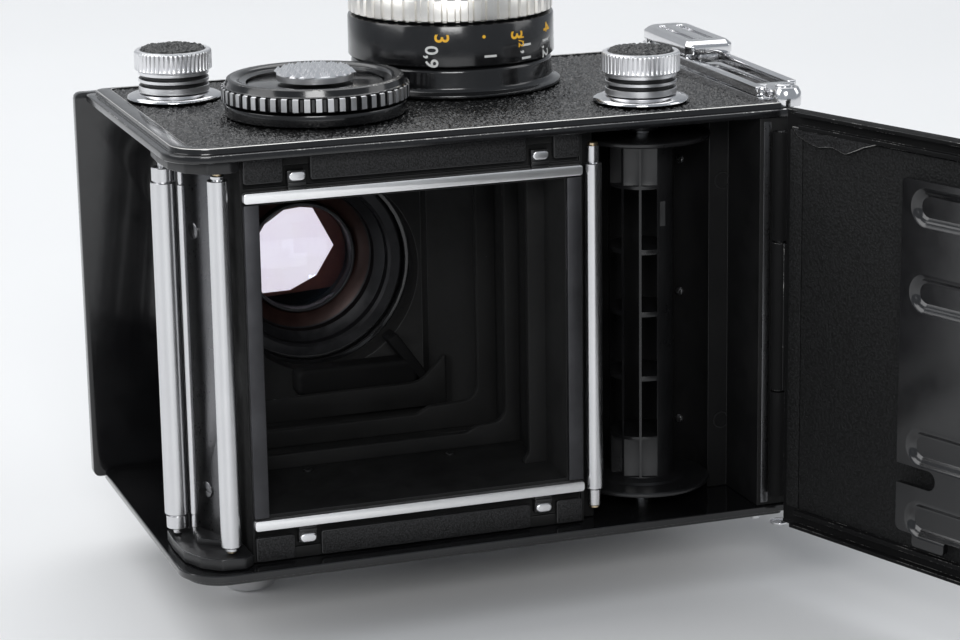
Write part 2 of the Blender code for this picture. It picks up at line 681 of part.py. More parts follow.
def build_door():
    shell = make("door_shell", door_shell_bm(DOOR_IN, DOOR_OUT, -DOOR_HALF, DOOR_HALF),
                 "black_enamel")
    for sign in (-1, 1):
        z0, z1 = sorted((sign * (HALF_LEDGE + 0.15), sign * DOOR_HALF))
        rim = door_shell_bm(-1.2, DOOR_OUT - 0.2, z0, z1)
        join(shell, make("rim", rim, None))
        cut(shell, box("rim_end", (104.6, 109.0), (-0.2, 4.0),
                       tuple(sorted((sign * 37.0, sign * 40.0)))))
        z2, z3 = sorted((sign * 34.9, sign * 35.7))
        seal = make("seal", door_shell_bm(-0.7, DOOR_IN + 0.3, z2, z3), None)
        cut(seal, box("end", (104.0, 112.0), (-3.0, 3.0), (-40.0, 40.0)))
        join(shell, seal)
    knuckle = prism("knuckle", circle(*HINGE, 1.45, 20), -13.6, 13.6, None)
    join(shell, knuckle)
    join(shell, box("web", (106.8, 109.4), (-1.9, -0.6), (-13.6, 13.6)))
    cut(shell, prism("pin_bore", circle(*HINGE, 0.85, 16), -20.0, 20.0, None))
    join(shell, disc("tripod_boss", (51.5, 0.0), 8.4, -3.8, -1.0, "x", 28))
    cut(shell, disc("tripod_hole", (51.5, 0.0), 3.0, -5.0, 2.0, "x", 20))
    cut(shell, prism("latch_bore", circle(33.0, 0.0, 1.4, 16), -6.0, 3.0, None, "x"))
    open_door(shell)


def build_door_parts():
    plate = prism("pressure_plate", rounded(8.6, 77.4, -31.0, 31.0, 2.0), 1.3, 2.5,
                  "black_enamel", "y")
    for x in (20.0, 68.0):
        for z in (-20.0, 20.0):
            ridge = rounded(x - 4.0, x + 4.0, z - 2.0, z + 2.0, 1.8)
            cut(plate, prism("emboss", ridge, 2.2, 4.0, None, "y"))
    open_door(plate, (44.0, 1.9, 0.0))
    spring = prism("pressure_spring", rounded(38.0, 50.0, -6.0, 6.0, 2.0), -0.28, 0.1,
                   "steel", "y")
    open_door(spring, (44.0, 0.0, 0.0))
    latch = lathe("door_latch", [(0, 0.6), (1.2, 0.6), (1.2, -2.1), (6.2, -2.1), (6.2, -4.0),
                                 (5.6, -4.4), (0, -4.4)], (33.0, 0.0), "chrome", "x", 24)
    open_door(latch, (-3.0, 33.0, 0.0))


def build_hinge():
    leaf = box("hinge_leaf", (111.7, 116.4), (-1.6, -0.15), (-33.6, 33.6), "black_enamel")
    for z0, z1 in ((-33.6, -14.0), (14.0, 33.6)):
        join(leaf, prism("knuckle", circle(*HINGE, 1.45, 20), z0, z1, None))
        join(leaf, box("web", (110.4, 112.4), (-1.6, -0.2), (z0, z1)))
    cut(leaf, prism("pin_bore", circle(*HINGE, 0.85, 16), -40.0, 40.0, None))
    lathe("hinge_pin", rod(0.7, -33.8, 33.8), HINGE, "steel", count=12,
          pivot=(HINGE[0], HINGE[1], 0.0))


def main():
    clear_scene()
    build_sides()
    build_casting()
    build_gate()
    build_film_clips()
    build_rollers()
    build_brackets()
    build_spool()
    build_knobs()
    build_dial()
    build_focus()
    build_lugs()
    build_crank()
    build_front()
    build_lenses()
    build_front_controls()
    build_viewer()
    build_door()
    build_door_parts()
    build_hinge()


main()
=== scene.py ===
"""Visual model of a twin lens reflex camera that lies on its crank side with the back open.

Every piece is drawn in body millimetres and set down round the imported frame: x runs from the
base end to the top, y from the rear face to the lenses, z from the middle of the width to the
left side. place() turns them into the frame's metres.
"""

import json
import math
from functools import partial

import bmesh
import bpy
from mathutils import Matrix, Vector, noise

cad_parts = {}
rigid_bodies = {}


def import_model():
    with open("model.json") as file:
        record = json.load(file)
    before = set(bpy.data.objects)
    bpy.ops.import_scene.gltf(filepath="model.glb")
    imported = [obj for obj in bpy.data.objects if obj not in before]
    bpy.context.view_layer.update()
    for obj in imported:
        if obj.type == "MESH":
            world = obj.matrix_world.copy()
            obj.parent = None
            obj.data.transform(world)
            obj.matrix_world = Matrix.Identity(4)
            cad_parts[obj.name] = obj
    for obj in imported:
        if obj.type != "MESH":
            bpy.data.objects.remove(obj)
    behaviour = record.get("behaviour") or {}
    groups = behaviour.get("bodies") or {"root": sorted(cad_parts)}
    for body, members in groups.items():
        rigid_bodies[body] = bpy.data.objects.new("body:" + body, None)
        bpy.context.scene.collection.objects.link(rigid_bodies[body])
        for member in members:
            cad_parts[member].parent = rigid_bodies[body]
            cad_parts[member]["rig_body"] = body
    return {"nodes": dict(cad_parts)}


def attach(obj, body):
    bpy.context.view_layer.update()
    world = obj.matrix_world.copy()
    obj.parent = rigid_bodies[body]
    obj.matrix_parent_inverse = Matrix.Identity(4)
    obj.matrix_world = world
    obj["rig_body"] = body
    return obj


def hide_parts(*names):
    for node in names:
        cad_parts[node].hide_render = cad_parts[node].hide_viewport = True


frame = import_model()
noise.seed_set(7)  # or it would follow the clock
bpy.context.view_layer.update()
NODES = frame["nodes"]

# ---- sizes shared with the CAD, millimetres and degrees -------------------------------
MM = 0.001
X_MID, Y_MID, FLOOR = 71.39, -17.99, 50.6
OPEN_ANGLE = 109.0
TOP_X, FRONT_Y = 122.0, 68.0
HALF_LIP = 38.3
CORNER = 8.0
HINGE = (109.9, -0.9)
LENS_X, VIEW_X = 43.15, 85.15
SPOOL, SUPPLY = (89.6, 14.6), (13.3, 51.8)
DIAL, FOCUS = (32.9, 27.3), (65.2, 47.7)
FEEL_OUT, FEEL_IN = (2.9, 19.0), (5.4, 16.6)
GUIDE_BASE, GUIDE_TOP = (8.9, 4.8), (76.3, 4.6)
GATE_Y = 4.6
SIDES = (("left", 1), ("right", -1))
SMOOTH = 38.0


def place(x, y, z):
    return Vector(((x - X_MID) * MM, (y - Y_MID) * MM, (z + FLOOR) * MM))


# ---- shader nodes ---------------------------------------------------------------------
def add(tree, kind, sockets=None, **props):
    node = tree.nodes.new("ShaderNode" + kind)
    for key, value in props.items():
        setattr(node, key, value)
    for key, value in (sockets or {}).items():
        if isinstance(value, bpy.types.NodeSocket):
            tree.links.new(value, node.inputs[key])
        else:
            node.inputs[key].default_value = value
    return node


def new_material(name, **sockets):
    """A Principled material; sockets are set by name, with _ for a space."""
    mat = bpy.data.materials.new(name)
    mat.use_nodes = True
    shader = mat.node_tree.nodes["Principled BSDF"]
    for key, value in sockets.items():
        shader.inputs[key.replace("_", " ")].default_value = value
    return mat, mat.node_tree, shader


def coords(tree, stretch=None):
    where = add(tree, "TexCoord").outputs["Object"]
    if stretch is None:
        return where
    return add(tree, "Mapping", {"Vector": where, "Scale": stretch}).outputs["Vector"]


def cloud(tree, where, scale, detail=3.0, rough=0.55):
    found = add(tree, "TexNoise", {"Vector": where, "Scale": scale, "Detail": detail,
                                   "Roughness": rough})
    return found.outputs["Fac"]


def spread(tree, value, low, high, out_low=0.0, out_high=1.0):
    found = add(tree, "MapRange", {"Value": value, "From Min": low, "From Max": high,
                                   "To Min": out_low, "To Max": out_high})
    return found.outputs["Result"]


def tint(tree, fac, first, second):
    """Mix of two colours; the first may be a socket."""
    if not isinstance(first, bpy.types.NodeSocket):
        first = (*first, 1.0)
    return add(tree, "Mix", {0: fac, 6: first, 7: (*second, 1.0)}, data_type="RGBA").outputs[2]


def maths(tree, kind, a, b):
    return add(tree, "Math", {0: a, 1: b}, operation=kind).outputs[0]


def bump(tree, shader, height, distance, strength=1.0):
    node = add(tree, "Bump", {"Height": height, "Distance": distance, "Strength": strength})
    tree.links.new(node.outputs["Normal"], shader.inputs["Normal"])


def wire(tree, shader, **links):
    """Links values to the shader's sockets, named with _ for a space."""
    for key, value in links.items():
        tree.links.new(value, shader.inputs[key.replace("_", " ")])


# ---- materials ------------------------------------------------------------------------
def paint(name, dark, light, rough, grain, depth, dust=0.0, **extra):
    """Black finishes: two close tones, uneven gloss, a grain of the given pitch and depth."""
    mat, tree, shader = new_material(name, **extra)
    where = coords(tree)
    base = tint(tree, spread(tree, cloud(tree, where, 60.0, 4.0, 0.6), 0.35, 0.7), dark, light)
    if dust:
        speck = spread(tree, cloud(tree, where, 900.0, 2.0, 0.6), 0.80 - dust, 0.86, 0.0, 0.5)
        base = tint(tree, speck, base, (0.34, 0.34, 0.35))
    gloss = spread(tree, cloud(tree, where, 240.0, 5.0, 0.7), 0.3, 0.72, *rough)
    wire(tree, shader, Base_Color=base, Roughness=gloss)
    bump(tree, shader, cloud(tree, where, 1000.0 / grain, 3.0, 0.6), depth * MM, 0.9)
    return mat


def crinkle(name, dark, light, rough, pitch, depth):
    """Crackle and wrinkle finish: rounded grains, with painted shade darkening the valleys."""
    mat, tree, shader = new_material(name, Specular_IOR_Level=0.3)
    where = coords(tree)
    cells = add(tree, "TexVoronoi", {"Vector": where, "Scale": 1000.0 / pitch,
                                     "Randomness": 1.0}, feature="SMOOTH_F1")
    grain = spread(tree, cells.outputs["Distance"], 0.05, 0.75, 1.0, 0.0)
    fine = cloud(tree, where, 2600.0, 3.0, 0.7)
    height = maths(tree, "ADD", grain, maths(tree, "MULTIPLY", fine, 0.6))
    # painted shade: the colour follows the grain height, dark in the valleys and lighter on the
    # grains
    wire(tree, shader, Base_Color=tint(tree, spread(tree, height, 0.5, 1.35), dark, light),
         Roughness=spread(tree, fine, 0.3, 0.7, *rough))
    bump(tree, shader, height, depth * MM)
    return mat


def leather(name):
    """Leather skin: fine grain over pebbles that the mesh itself carries, polished tops, with
    painted shade darkening the creases.
    """
    mat, tree, shader = new_material(name, Specular_IOR_Level=0.6)
    where = coords(tree)
    cells = add(tree, "TexVoronoi", {"Vector": where, "Scale": 1500.0, "Randomness": 1.0},
                feature="DISTANCE_TO_EDGE")
    crease = spread(tree, cells.outputs["Distance"], 0.0, 0.35)
    fine = cloud(tree, where, 2600.0, 3.0, 0.7)
    height = maths(tree, "ADD", crease, maths(tree, "MULTIPLY", fine, 0.45))
    # painted shade: the colour follows the crease height, near black in the creases and lighter on
    # the pebble tops
    tone = tint(tree, spread(tree, height, 0.2, 1.2), (0.002, 0.002, 0.002),
                (0.012, 0.012, 0.0125))
    patchy = cloud(tree, where, 700.0, 3.0, 0.6)
    wire(tree, shader, Base_Color=tone, Roughness=spread(tree, patchy, 0.35, 0.65, 0.12, 0.30))
    bump(tree, shader, height, 0.09 * MM)
    return mat


def metal(name, dark, light, rough, depth=0.004, pitch=0.12, streak=None):
    """Bare or plated metal: faint clouding, fine scratches or a brushed streak direction."""
    mat, tree, shader = new_material(name, Metallic=1.0)
    where = coords(tree)
    blotch = cloud(tree, where, 90.0, 5.0, 0.62)
    fine = cloud(tree, coords(tree, streak), 1000.0 / pitch, 4.0, 0.65)
    smear = cloud(tree, where, 320.0, 4.0, 0.7)
    both = maths(tree, "ADD", maths(tree, "MULTIPLY", fine, 0.6),
                 maths(tree, "MULTIPLY", smear, 0.4))
    wire(tree, shader, Base_Color=tint(tree, spread(tree, blotch, 0.32, 0.68), dark, light),
         Roughness=spread(tree, both, 0.34, 0.66, *rough))
    bump(tree, shader, fine, depth * MM, 0.6)
    return mat


def worn(name, share, bare=(0.5, 0.49, 0.47)):
    """An edge whose black coat is rubbed through to bright metal in an uneven line."""
    mat, tree, shader = new_material(name)
    where = coords(tree)
    rub = maths(tree, "ADD", maths(tree, "MULTIPLY", cloud(tree, where, 130.0, 3.0, 0.6), 0.55),
                maths(tree, "MULTIPLY", cloud(tree, where, 1500.0, 4.0, 0.75), 0.45))
    mask = spread(tree, rub, 0.62 - share * 0.25, 0.7 - share * 0.25)
    wire(tree, shader, Base_Color=tint(tree, mask, (0.012, 0.012, 0.013), bare),
         Metallic=spread(tree, mask, 0.0, 1.0, 0.0, 0.95),
         Roughness=spread(tree, mask, 0.0, 1.0, 0.25, 0.34))
    bump(tree, shader, mask, -0.02 * MM, 0.8)
    return mat


def glass(name, tone, film):
    """Coated lens glass with a faint cast and a little dust."""
    mat, tree, shader = new_material(name, Transmission_Weight=1.0, IOR=1.52,
                                     Thin_Film_Thickness=film, Thin_Film_IOR=1.38)
    where = coords(tree)
    haze = spread(tree, cloud(tree, where, 900.0, 4.0, 0.7), 0.45, 0.85, 0.0, 0.05)
    cast = spread(tree, cloud(tree, where, 70.0), 0.3, 0.7)
    wire(tree, shader, Base_Color=tint(tree, cast, tone, (0.97, 0.96, 0.99)), Roughness=haze)
    return mat


def flat_tone(name, low, high, rough, metallic=0.0, scale=500.0, depth=0.006):
    """One even tone with a fine grain in its colour, gloss and surface."""
    mat, tree, shader = new_material(name, Metallic=metallic)
    grain = cloud(tree, coords(tree), scale, 4.0, 0.65)
    wire(tree, shader, Base_Color=tint(tree, spread(tree, grain, 0.3, 0.7), low, high),
         Roughness=spread(tree, grain, 0.3, 0.7, *rough))
    bump(tree, shader, grain, depth * MM, 0.7)
    return mat


ENAMEL = paint("black_enamel", (0.004, 0.004, 0.0045), (0.008, 0.008, 0.0085), (0.12, 0.24),
               0.9, 0.010, 0.0, Coat_Weight=0.3, Coat_Roughness=0.08)
SATIN_BLACK = paint("satin_black", (0.007, 0.007, 0.0075), (0.012, 0.012, 0.0125),
                    (0.32, 0.46), 0.25, 0.010)
MATT_BLACK = paint("matt_black", (0.006, 0.006, 0.006), (0.011, 0.011, 0.011), (0.6, 0.85),
                   0.22, 0.02, 0.01, Specular_IOR_Level=0.22)
# deep_black is a darker, duller copy of matt_black; on the take-up chamber walls and the blocks at
# the lens port it is painted shade
DEEP_BLACK = paint("deep_black", (0.0035, 0.0035, 0.0037), (0.007, 0.007, 0.0072), (0.6, 0.85),
                   0.3, 0.02, 0.01, Specular_IOR_Level=0.12)
FLOCK = crinkle("flocked_black", (0.001, 0.001, 0.001), (0.010, 0.0105, 0.011), (0.6, 0.9),
                0.42, 0.14)
CRINKLE = crinkle("crinkle_black", (0.004, 0.004, 0.004), (0.030, 0.030, 0.032), (0.5, 0.8),
                  0.28, 0.08)
LEATHER = leather("pebbled_leather")
CHROME = metal("chrome", (0.66, 0.66, 0.67), (0.78, 0.78, 0.79), (0.07, 0.18))
WARM_CHROME = metal("warm_chrome", (0.82, 0.79, 0.73), (0.88, 0.86, 0.82), (0.30, 0.34),
                    0.0001, 0.6)
SATIN = metal("satin_alloy", (0.55, 0.55, 0.56), (0.68, 0.68, 0.69), (0.3, 0.45), 0.01)
STEEL = metal("brushed_steel", (0.50, 0.50, 0.51), (0.66, 0.66, 0.67), (0.22, 0.34))
ROLLER = metal("roller_steel", (0.62, 0.62, 0.63), (0.66, 0.66, 0.67), (0.25, 0.27), 0.0001,
               0.6)
SOFT_CHROME = metal("soft_chrome", (0.80, 0.80, 0.81), (0.85, 0.85, 0.86), (0.32, 0.36),
                    0.0001, 0.6)
ANODISED = metal("anodised_grey", (0.15, 0.15, 0.155), (0.18, 0.18, 0.185), (0.26, 0.32),
                 0.0002, 0.5)
RAIL = metal("rail_steel", (0.90, 0.90, 0.90), (0.95, 0.95, 0.95), (0.36, 0.42), 0.0008,
             streak=(0.03, 1.0, 1.0))
GREY = metal("grey_metal", (0.050, 0.050, 0.053), (0.075, 0.075, 0.080), (0.42, 0.6), 0.006)
BRASS = metal("brass", (0.50, 0.40, 0.26), (0.62, 0.52, 0.36), (0.22, 0.4))
PLASTIC = paint("black_plastic", (0.006, 0.006, 0.0065), (0.011, 0.011, 0.0115), (0.26, 0.36),
                0.5, 0.006)
PLATE_BLACK = paint("plate_black", (0.006, 0.006, 0.0065), (0.010, 0.010, 0.011), (0.13, 0.19),
                    0.9, 0.003, Specular_IOR_Level=0.7)
WORN = worn("worn_edge", 0.35)
CHIPPED = worn("chipped_edge", 0.12)
RUBBED = worn("rubbed_edge", 1.1, (0.62, 0.61, 0.59))
GLASS = glass("coated_glass", (0.93, 0.89, 0.98), 190.0)
VIEW_GLASS = glass("viewing_glass", (0.93, 0.92, 0.98), 150.0)
MIRROR = flat_tone("mirror_silver", (0.82, 0.83, 0.84), (0.88, 0.88, 0.89), (0.02, 0.05), 1.0)
SCREEN = flat_tone("ground_screen", (0.58, 0.59, 0.58), (0.72, 0.73, 0.73), (0.35, 0.5), 0.0,
                   4000.0, 0.01)
YELLOW = flat_tone("dial_yellow", (0.86, 0.44, 0.02), (0.95, 0.54, 0.04), (0.4, 0.55))
WHITE = flat_tone("dial_white", (0.62, 0.62, 0.60), (0.75, 0.75, 0.73), (0.4, 0.55))
# painted reflection: the blades' brownish red stands for the lens coating's reflection seen round
# the aperture
BLADE_PAINTED_REFLECTION = flat_tone("blade_painted_reflection_brown", (0.10, 0.030, 0.020), (0.16, 0.050, 0.032), (0.35, 0.5), 0.3)
INNER_RING = flat_tone("ring_grey", (0.014, 0.014, 0.0155), (0.026, 0.026, 0.029),
                       (0.32, 0.45), 0.5)
# painted reflection: the reddish tone stands for the lens coating's reflection on the inner ring
# by the iris
RING_PAINTED_REFLECTION = flat_tone("ring_red_painted_reflection", (0.030, 0.014, 0.012), (0.050, 0.022, 0.018), (0.3, 0.45), 0.4)


# ---- mesh helpers ---------------------------------------------------------------------
def at(axis, u, v, h):
    """Body point from in-plane (u, v) and height h. Plane order: z:(x,y) y:(x,z) x:(y,z)."""
    if axis == "z":
        return Vector((u, v, h))
    if axis == "y":
        return Vector((u, h, v))
    return Vector((h, u, v))


def circle(cu, cv, r, count=48):
    step = 2.0 * math.pi / count
    return [(cu + r * math.cos(step * i), cv + r * math.sin(step * i)) for i in range(count)]


def rect(u0, u1, v0, v1):
    return [(u0, v0), (u1, v0), (u1, v1), (u0, v1)]


def round_poly(points, steps=8):
    """Outline from (u, v, radius) corners, each corner turned into a short arc."""
    out = []
    count = len(points)
    for i, (u, v, r) in enumerate(points):
        if r <= 0.0:
            out.append((u, v))
            continue
        here = Vector((u, v))
        before = (Vector(points[i - 1][:2]) - here).normalized()
        after = (Vector(points[(i + 1) % count][:2]) - here).normalized()
        half = before.angle(after) / 2.0
        reach = r / math.tan(half)
        p0 = here + before * reach
        p1 = here + after * reach
        centre = here + (before + after).normalized() * (r / math.sin(half))
        a0 = math.atan2(p0.y - centre.y, p0.x - centre.x)
        a1 = math.atan2(p1.y - centre.y, p1.x - centre.x)
        turn = (a1 - a0 + math.pi) % (2.0 * math.pi) - math.pi
        for k in range(steps + 1):
            a = a0 + turn * k / steps
            out.append((centre.x + r * math.cos(a), centre.y + r * math.sin(a)))
    return out


def rounded(u0, u1, v0, v1, r, steps=8):
    return round_poly([(u0, v0, r), (u1, v0, r), (u1, v1, r), (u0, v1, r)], steps)


def loft_bm(rings, axis="z", bands=None):
    """Skin through outlines of equal length: rings = [(outline, height)], ends capped.

    bands[k] is the material slot of the strip between rings k and k + 1.
    """
    bm = bmesh.new()
    rows = [[bm.verts.new(at(axis, u, v, h)) for u, v in outline] for outline, h in rings]
    bm.faces.new(rows[0])
    bm.faces.new(rows[-1])
    for k, (low, high) in enumerate(zip(rows, rows[1:])):
        for i in range(len(low)):
            j = (i + 1) % len(low)
            face = bm.faces.new((low[i], low[j], high[j], high[i]))
            face.material_index = (bands or {}).get(k, 0)
    return bm


def prism_bm(outline, h0, h1, axis="z"):
    return loft_bm([(outline, h0), (outline, h1)], axis)


def box_bm(xs, ys, zs):
    return prism_bm(rect(*xs, *ys), zs[0], zs[1])


def lathe_bm(profile, centre, axis="z", count=96, teeth=None, bands=None):
    """Turned body from (radius, height[, toothed]) points.

    An open profile begins and ends on the axis; otherwise it is closed on itself.
    teeth = (number, depth, pattern). bands[i] is the material slot of the strip that
    starts at point i, or a pair (crest, groove).
    """
    bm = bmesh.new()
    number, depth, pattern = teeth or (count, 0.0, (0.0,))
    count = number * len(pattern)
    rows = []
    for r, h, *toothed in profile:
        if r < 1e-6:
            rows.append([bm.verts.new(at(axis, *centre, h))])
            continue
        row = []
        for i in range(count):
            a = 2.0 * math.pi * i / count
            rr = r - depth * pattern[i % len(pattern)] * sum(toothed)
            u = centre[0] + rr * math.cos(a)
            v = centre[1] + rr * math.sin(a)
            row.append(bm.verts.new(at(axis, u, v, h)))
        rows.append(row)
    pairs = list(zip(rows, rows[1:]))
    if len(rows[0]) > 1:
        pairs.append((rows[-1], rows[0]))
    for k, (r0, r1) in enumerate(pairs):
        band = (bands or {}).get(k, 0)
        for i in range(count):
            j = (i + 1) % count
            if len(r0) == 1:
                face = bm.faces.new((r0[0], r1[i], r1[j]))
            elif len(r1) == 1:
                face = bm.faces.new((r0[i], r0[j], r1[0]))
            else:
                face = bm.faces.new((r0[i], r0[j], r1[j], r1[i]))
            if isinstance(band, tuple):
                step = i % len(pattern)
                low = pattern[step] + pattern[(step + 1) % len(pattern)]
                face.material_index = band[1] if low > 0.0 else band[0]
            else:
                face.material_index = band
    return bm


def raised(z, *points):
    """Lathe points whose heights count from z."""
    return [(r, z + h, *toothed) for r, h, *toothed in points]


def soften(profile, r):
    """Rounds the corners of an open lathe profile with short arcs of three points."""
    out = [profile[0]]
    for a, b, c in zip(profile, profile[1:], profile[2:]):
        here = Vector(b)
        d0, d1 = Vector(a) - here, Vector(c) - here
        reach = min(r, d0.length * 0.45, d1.length * 0.45)
        p0, p1 = here + d0.normalized() * reach, here + d1.normalized() * reach
        for t in (0.0, 0.5, 1.0):
            p = p0 * (1 - t) ** 2 + here * 2 * t * (1 - t) + p1 * t * t
            out.append((p.x, p.y))
    out.append(profile[-1])
    return out


def painted(bm, slot):
    for face in bm.faces:
        face.material_index = slot
    return bm


def merge_bm(*parts):
    whole = bmesh.new()
    for bm in parts:
        mesh = bpy.data.meshes.new("part")
        bm.to_mesh(mesh)
        bm.free()
        whole.from_mesh(mesh)
        bpy.data.meshes.remove(mesh)
    return whole


def turned(bm, pivot, degrees, axis="Z"):
    """The same shape, turned about an axis through the pivot."""
    turn = Matrix.Rotation(math.radians(degrees), 4, axis)
    for v in bm.verts:
        v.co = Vector(pivot) + turn @ (v.co - Vector(pivot))
    return bm


def swing_door(bm):
    """Turns a shape drawn on the closed back to where the back stands open."""
    return turned(bm, (*HINGE, 0.0), OPEN_ANGLE)


def to_object(name, bm, mats):
    bmesh.ops.recalc_face_normals(bm, faces=bm.faces)
    mesh = bpy.data.meshes.new(name)
    bm.to_mesh(mesh)
    bm.free()
    for m in mats:
        mesh.materials.append(m)
    obj = bpy.data.objects.new(name, mesh)
    bpy.context.scene.collection.objects.link(obj)
    return obj


def evaluated_mesh(obj):
    bpy.context.view_layer.update()
    graph = bpy.context.evaluated_depsgraph_get()
    return bpy.data.meshes.new_from_object(obj.evaluated_get(graph))


def apply_modifiers(obj):
    mesh = evaluated_mesh(obj)
    obj.modifiers.clear()
    obj.data = mesh


def shade(obj, degrees=SMOOTH):
    mesh = obj.data
    mesh.polygons.foreach_set("use_smooth", [True] * len(mesh.polygons))
    mesh.set_sharp_from_angle(angle=math.radians(degrees))
    mesh.update()


def round_edges(obj, width, segments, edge_slot):
    mod = obj.modifiers.new("round", "BEVEL")
    mod.width = width * MM
    mod.segments = segments
    mod.limit_method = "ANGLE"
    mod.angle_limit = math.radians(32.0)
    mod.material = edge_slot
    apply_modifiers(obj)


def set_down(bm):
    for v in bm.verts:
        v.co = place(*v.co)
    return bm


def cut(obj, cutter):
    """Cuts a shape drawn in body millimetres out of the object."""
    other = to_object("cutter", set_down(cutter), obj.data.materials)
    mod = obj.modifiers.new("cut", "BOOLEAN")
    mod.operation = "DIFFERENCE"
    mod.solver = "EXACT"
    mod.object = other
    apply_modifiers(obj)
    bpy.data.objects.remove(other, do_unlink=True)


def finish_piece(name, bm, mats, on=None, swaps=None, slot=None, bevel=0.0, edge=None, cuts=(),
                 angle=SMOOTH, segments=2):
    """A piece in the frame's metres: cut, rounded, smoothed and riding on a node's body.

    edge is the material of the rounded edges, and swaps the CAD node that it stands for.
    """
    obj = to_object(name, bm, mats if edge is None else mats + [edge])
    for cutter in cuts:
        cut(obj, cutter)
    if bevel:
        round_edges(obj, bevel, segments, -1 if edge is None else len(mats))
    shade(obj, angle)
    if swaps:
        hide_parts(swaps)
    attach(obj, NODES[on]["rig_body"] if on else "body")


def piece(name, bm, mats, **how):
    """A piece drawn in body millimetres; on names a CAD node on the body that it rides."""
    finish_piece(name, set_down(bm), mats, **how)


def trim(name, bm, mat, **how):
    """A black part fixed to the body."""
    piece(name, bm, [mat], slot="matt_black_alloy", **how)


def swap(node, bm, mats, **how):
    """A piece that takes the place of a CAD node."""
    piece(node + "_v", bm, mats, on=node, swaps=node, **how)


def refine(node, mat, bevel, edge=None):
    """The CAD node's own shape with its edges rounded and a worked material."""
    bm = bmesh.new()
    bm.from_mesh(NODES[node].data)
    bmesh.ops.remove_doubles(bm, verts=bm.verts, dist=2e-6)
    bmesh.ops.dissolve_limit(bm, angle_limit=math.radians(0.6), verts=bm.verts,
                             edges=bm.edges, use_dissolve_boundaries=False)
    finish_piece(node + "_v", painted(bm, 0), [mat], on=node, swaps=node, bevel=bevel,
                 edge=edge)


# ---- side plates and leather ----------------------------------------------------------
def plate_outline(inset, base=None):
    base = inset if base is None else base
    return round_poly([
        (base, inset, CORNER - inset),
        (112.8 - inset * 0.6, inset, 1.0),
        (TOP_X - inset, 19.8 + inset * 0.4, 3.0),
        (TOP_X - inset, FRONT_Y - inset, 2.0),
        (base, FRONT_Y - inset, 2.0),
    ], 14)


PLATE_RINGS = [
    (0.15, 0.15, 36.0), (0.0, 0.0, 36.15), (0.0, 0.0, 37.08), (0.06, 0.06, 37.22),
    (0.22, 0.22, 37.3), (1.3, 1.3, 37.28), (1.44, 1.44, 37.34), (1.5, 1.5, 37.5),
    (1.5, 1.5, 38.05), (1.56, 1.56, 38.22), (1.74, 1.74, 38.3), (2.02, 4.2, 38.3),
    (2.16, 4.34, 38.26), (2.2, 4.4, 38.1), (2.2, 4.4, 37.52),
]
PLATE_BANDS = {3: 1, 9: 2, 11: 2}
LUG_X, LUG_LOW = (108.3, 117.9), 37.4
CLIP_PIVOT, CLIP_REST = (6.6, 39.4), 0.8


def lug_outline(off):
    x0, x1 = LUG_X
    return round_poly([(x0 - off, 4.6 - off, 1.0), (x0 + 5.4 + off * 0.6, 4.6 - off, 1.0),
                       (x1 + off, 15.0 - off * 0.4, 1.0), (x1 + off, 44.0 + off, 2.0),
                       (x0 - off, 44.0 + off, 2.0)], 6)


def build_plate(tag, side):
    bm = loft_bm([(plate_outline(a, b), side * z) for a, b, z in PLATE_RINGS],
                 bands=PLATE_BANDS)
    seat = prism_bm(lug_outline(0.35), side * LUG_LOW, side * 40.0)
    swap("side_plate_" + tag, bm, [ENAMEL, WORN, RUBBED], cuts=[seat])


def span(outline, y):
    """The reach in x of a convex outline at the given y."""
    found = []
    for (x0, y0), (x1, y1) in zip(outline, outline[1:] + outline[:1]):
        if min(y0, y1) - 1e-6 <= y <= max(y0, y1) + 1e-6:
            level = abs(y1 - y0) <= 1e-9
            found += [x0, x1] if level else [x0 + (x1 - x0) * ((y - y0) / (y1 - y0))]
    return min(found), max(found)


PEBBLE, PEBBLE_STEP, PEBBLE_DEPTH = 1.0, 0.28, 0.46


def pebble(x, y):
    """Height of the leather, 0 in the creases and 1 on top of a pebble."""
    wander = noise.noise_vector(Vector((x, y, 0.0)) / 1.7)
    near = noise.voronoi(Vector((x, y * 1.2, 3.0)) / PEBBLE + wander * 0.45)[0]
    rise = min(1.0, (near[1] - near[0]) * 1.6)
    crest = rise * (2.0 - rise)
    swell = noise.noise(Vector((x, y, 9.0)) / 0.8)
    return crest * (0.72 + 0.4 * swell)


def build_panel(tag, side):
    """Leather sheet with its pebbles raised in the mesh, set inside the plate's rim."""
    outline = plate_outline(2.26, 4.46)
    top, low = 38.24, 37.54
    y0, y1 = min(p[1] for p in outline), max(p[1] for p in outline)
    across, along = int((y1 - y0) / PEBBLE_STEP), int(117.0 / PEBBLE_STEP)
    bm = bmesh.new()
    rows = []
    for j in range(across + 1):
        y = y0 + (y1 - y0) * j / across
        x0, x1 = span(outline, min(max(y, y0 + 1e-4), y1 - 1e-4))
        row = []
        for i in range(along + 1):
            x = x0 + (x1 - x0) * i / along
            rim = i in (0, along) or j in (0, across)
            h = 0.1 if rim else pebble(x, y)
            row.append(bm.verts.new((x, y, side * (top - PEBBLE_DEPTH * (1.0 - h)))))
        rows.append(row)
    for a, b in zip(rows, rows[1:]):
        for i in range(along):
            bm.faces.new((a[i], a[i + 1], b[i + 1], b[i]))
    rim = [e for e in bm.edges if e.is_boundary]
    skirt = bmesh.ops.extrude_edge_only(bm, edges=rim)["geom"]
    for v in skirt:
        if isinstance(v, bmesh.types.BMVert):
            v.co.z = side * low
    bmesh.ops.holes_fill(bm, edges=[e for e in skirt if isinstance(e, bmesh.types.BMEdge)])
    swap("side_leather_" + tag, bm, [LEATHER], angle=80.0)


# ---- body casting, gate and film path -------------------------------------------------
BAFFLES = (
    # camera-side face y, then the opening: x end, lower z, upper z, foot step x, rise, corner
    (15.0, 67.8, -27.4, 26.6, 0.0, 0.0, 2.0),
    (28.8, 68.3, -24.6, 26.4, 61.6, 1.1, 2.6),
    (41.6, 67.3, -24.0, 26.2, 56.4, 1.3, 3.0),
)


